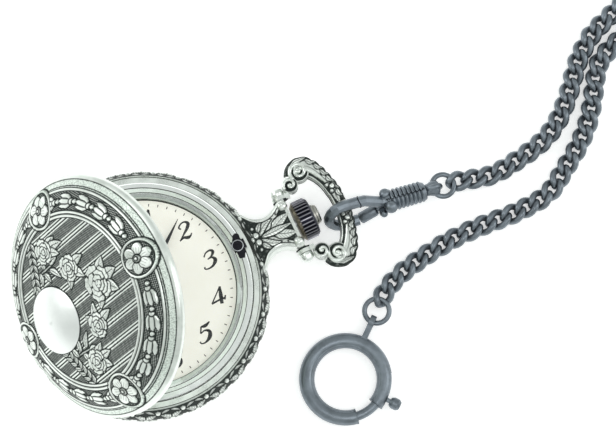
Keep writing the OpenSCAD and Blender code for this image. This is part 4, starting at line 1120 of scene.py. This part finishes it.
def make_bow_ornament():
    """Sculpted bar of the bow: chased faces, lobes on its outer edge and volutes at its foot."""
    rows = smooth_line(BOW_HALF, 10)
    long = arc_length(rows)[-1]
    reach = np.linspace(3.4, long, 190)
    rows = at_length(rows, reach)
    v = np.sin(np.linspace(-np.pi / 2, np.pi / 2, 35))
    # the ornament is lower where the snap hook passes
    hooked = smoothstep(reach, long - 3.0, long - 1.6)[:, None]
    half = rows[:, 2:3] + 0.10 * (1 - 0.85 * hooked)
    art = bow_relief(reach, half, v)
    lobes = 0.22 * np.abs(np.sin((reach - LOBE_START) * np.pi / LOBE_PITCH))
    lobes = lobes * band(reach, 5.4, 6.4, long - 1.6, long - 0.8)
    ahead = unit(np.gradient(rows[:, :2], axis=0))
    width = half * v[None, :] + lobes[:, None] * np.clip(v, 0, 1)[None, :]
    x = rows[:, 0:1] - ahead[:, 1:2] * width
    y = rows[:, 1:2] + ahead[:, 0:1] * width
    rise = (BOW_THICK + 0.06 * (1 - hooked)) * (1 - np.abs(v) ** 2.6) ** (1 / 2.6)
    rise = rise + art.height * (1 - v**8) * (1 - 0.75 * hooked)
    level = bow_height(rows[:, 0:1])
    dark = np.clip(art.dark + 0.85 * art.ground, 0, 1)
    dark = np.where(v[None, :] < -0.985, 0.75, dark)
    dark = np.concatenate([dark, dark[:, -2:0:-1]], axis=1).ravel()
    shape = Shape()
    for side in (-1, 1):
        top = np.stack([x, side * y, level + rise], -1)
        low = np.stack([x, side * y, level - rise], -1)[:, -2:0:-1]
        points = np.concatenate([top, low], axis=1)
        faces = grid_faces(*points.shape[:2], wrap_cols=True)
        shape.add(points.reshape(-1, 3), faces if side > 0 else faces[:, ::-1], dark=dark)
        for settings in VOLUTES:
            volute(shape, side, *settings)
        # dark joint between the bow's knuckle and the pendant
        joint = [(0.7, 0.0), (1.56, 0.0), (1.56, 0.28), (0.7, 0.28)]
        shape.lathe(joint, moved((LUG_X, side * 5.02, AXIS_Z), rotation("X", -side * 90)), steps=40, dark=1.0)
    shape.piece("bow_ornament", mat_silver, "bow", "case_silver")


def make_clasp_details():
    """Seams, ribs and bosses of the snap hook and its barrel."""
    shape = Shape()
    a = np.radians(np.linspace(-60, 112, 30))
    for k in range(8):
        r = 2.10 - 0.02 * k
        arc = np.column_stack([np.full(len(a), 9.72 + 0.85 * k), r * np.cos(a), r * np.sin(a)])
        shape.tube(arc, 0.26, sides=8)
    seam = [(8.5 + 0.2 * k, *polar(2.08, 104 + 9 * (k % 2))) for k in range(40)]
    shape.tube(seam, 0.12, sides=6, dark=1.0)
    ball(shape, (8.7, 1.0, 1.65), 1.10, 0.85, steps=24)
    ball(shape, (9.1, -1.75, 0.75), 1.30, 1.0, steps=28)
    # where the nose of the hook meets its shank
    turn = np.linspace(0, 2 * np.pi, 40, endpoint=False)
    ring = np.column_stack([3.05 + 0.14 * np.cos(2 * turn), 1.12 * np.cos(turn), 3.02 + 1.12 * np.sin(turn)])
    shape.tube(ring, 0.10, sides=6, up=(1, 0, 0), closed=True, dark=1.0)
    shape.piece("clasp_details", mat_gun, "chain", "chain_gunmetal", CLASPED)


def make_swivel_head():
    """Round head of the swivel, which the first link passes through."""
    shape = Shape().lathe(SWIVEL_BELL, moved((0, 0, 0), rotation("Y", 90)), steps=40)
    shape.piece("swivel_head", mat_gun, "swivel", "chain_gunmetal", CLASPED)


def make_gate_shell():
    """Shell of the gate, as stout as the hook: distance from the pivot and radius."""
    sizes = [(1.0, 0.86), (1.3, 1.08), (1.7, 1.18), (4.5, 1.16), (4.75, 1.06), (4.86, 0.84)]
    along = np.array([polar(reach, GATE_TURN) for reach, _ in sizes])
    line = [(GATE_PIVOT[0] - x, 0, GATE_PIVOT[1] - z) for x, z in along]
    shape = Shape().tube(line, np.array([r for _, r in sizes]), sides=28, up=(0, 1, 0))
    shape.piece("gate_shell", mat_gun, "gate", "chain_gunmetal", CLASPED)


def make_ring_details():
    """Soft ridge inside the spring ring and lips at the ends of its tube."""
    shape = Shape()
    place = moved(RING_AT)
    a = np.radians(np.linspace(-62, 257, 160))
    shape.tube(place(arc(6.55, a, 1.08)), 0.20, sides=8, dark=0.0)
    t = np.linspace(0, 2 * np.pi, 40, endpoint=False)
    for angle in (-65.2, -99.8):
        centre = np.array([*polar(RING_R, angle), 0])
        out = unit(centre)
        lip = centre + LIP_R * (np.cos(t)[:, None] * out + np.sin(t)[:, None] * np.array([0, 0, 1]))
        shape.tube(place(lip), 0.14, sides=8, up=tuple(np.cross(out, (0, 0, 1))), closed=True, dark=0.1)
    shape.piece("ring_trim", mat_gun, "ring", "chain_gunmetal")


make_catch_plate()
make_thumb_slot()
make_bow_ornament()
make_clasp_details()
make_swivel_head()
make_gate_shell()
make_ring_details()


# ---- chain
def chain_link(pitch):
    """One curb link about its centre, and the patina and painted shade of each of its points."""
    a = np.linspace(0, 2 * np.pi, 32, endpoint=False)
    x, y = (pitch + CHAIN_WIRE) / 2 * np.cos(a), (CHAIN_WIDTH - CHAIN_WIRE) / 2 * np.sin(a)
    twist = -np.radians(45) * x / (pitch / 2)
    loop = np.stack([x, y * np.cos(twist), y * np.sin(twist)], axis=-1)
    link = Shape().tube(loop, CHAIN_WIRE / 2, sides=12, closed=True)
    centre_line = np.repeat(loop, 12, axis=0)
    outward = unit(link.verts[0] - centre_line)
    # patina and painted shade on the inner side, painted shade underneath and at the ends where the next
    # links lie over it
    inner = np.clip(-(outward * unit(centre_line * (1, 1, 0.3))).sum(1), 0, 1)
    under = np.clip(-outward[:, 2], 0, 1)
    ends = smoothstep(np.abs(centre_line[:, 0]), pitch * 0.28, pitch * 0.62)
    tip = ends * np.clip(0.4 - outward[:, 2], 0, 1)
    return link, np.clip(0.75 * inner + 0.4 * under + 0.5 * tip, 0, 1)


def make_chain():
    """Curb links: each is an oval of wire, twisted so that it lies flat on its neighbours."""
    line = smooth_line(CHAIN_ROUTE, 12)
    total = arc_length(line)[-1]
    count = round(total / CHAIN_PITCH)
    pitch = total / count
    link, dark = chain_link(pitch)
    shape = Shape()
    for i in range(count + 1):
        s = i * pitch
        centre = at_length(line, np.array([s]))[0]
        before, after = at_length(line, np.array([max(s - pitch / 2, 0), min(s + pitch / 2, total)]))
        t = unit(after - before)
        side = unit(np.cross((0, 0, 1), t))
        basis = np.stack([t, side, np.cross(t, side)], axis=1)
        jitter = rotation("X", RNG.normal(0, 3.5)) @ rotation("Z", RNG.normal(0, 2.0))
        shape.add(link.verts[0] @ (basis @ jitter).T + centre + (0, 0, 0.06), link.faces, dark=dark)
    chain = shape.piece("chain_links", mat_gun, "chain", "chain_gunmetal")
    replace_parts(chain, "chain")


make_chain()


# ---- floor and light
def make_stage():
    """A white sheet just under the watch."""
    data = bpy.data.meshes.new("floor")
    corners = [(-2, -2), (2, -2), (2, 2), (-2, 2)]
    data.from_pydata([(x, y, -0.0001) for x, y in corners], [], [(0, 1, 2, 3)])
    floor = in_scene("floor", data)
    m = Nodes("floor")
    white = m.mix(m.noise(3, 2), (0.93, 0.93, 0.93), (0.95, 0.95, 0.95))
    m.surface(Base_Color=white, Roughness=0.9, Emission_Color=(1, 1, 1, 1), Emission_Strength=0.42)
    data.materials.append(m.material)


def area_light(name, at, aim, size, power):
    data = bpy.data.lights.new(name, "AREA")
    data.shape = "RECTANGLE"
    data.size, data.size_y = size
    data.energy = power
    ob = in_scene(name, data)
    ob.location = at
    ob.rotation_mode = "QUATERNION"
    ob.rotation_quaternion = (Vector(aim) - Vector(at)).to_track_quat("-Z", "Y")


def make_light():
    world = bpy.data.worlds.new("world")
    bpy.context.scene.world = world
    world.use_nodes = True
    background = world.node_tree.nodes["Background"]
    background.inputs["Color"].default_value = (0.93, 0.97, 0.95, 1)
    background.inputs["Strength"].default_value = 0.75
    centre = (0.05, 0.0, 0.0)
    area_light("key", (-0.55, 0.45, 0.55), centre, (0.4, 0.5), 1.6)
    area_light("fill", (0.65, -0.25, 0.5), centre, (0.3, 0.5), 1.1)
    area_light("top", (0.03, -0.25, 0.8), centre, (0.25, 0.25), 0.8)
    bpy.context.scene.view_settings.view_transform = "Standard"


make_stage()
make_light()
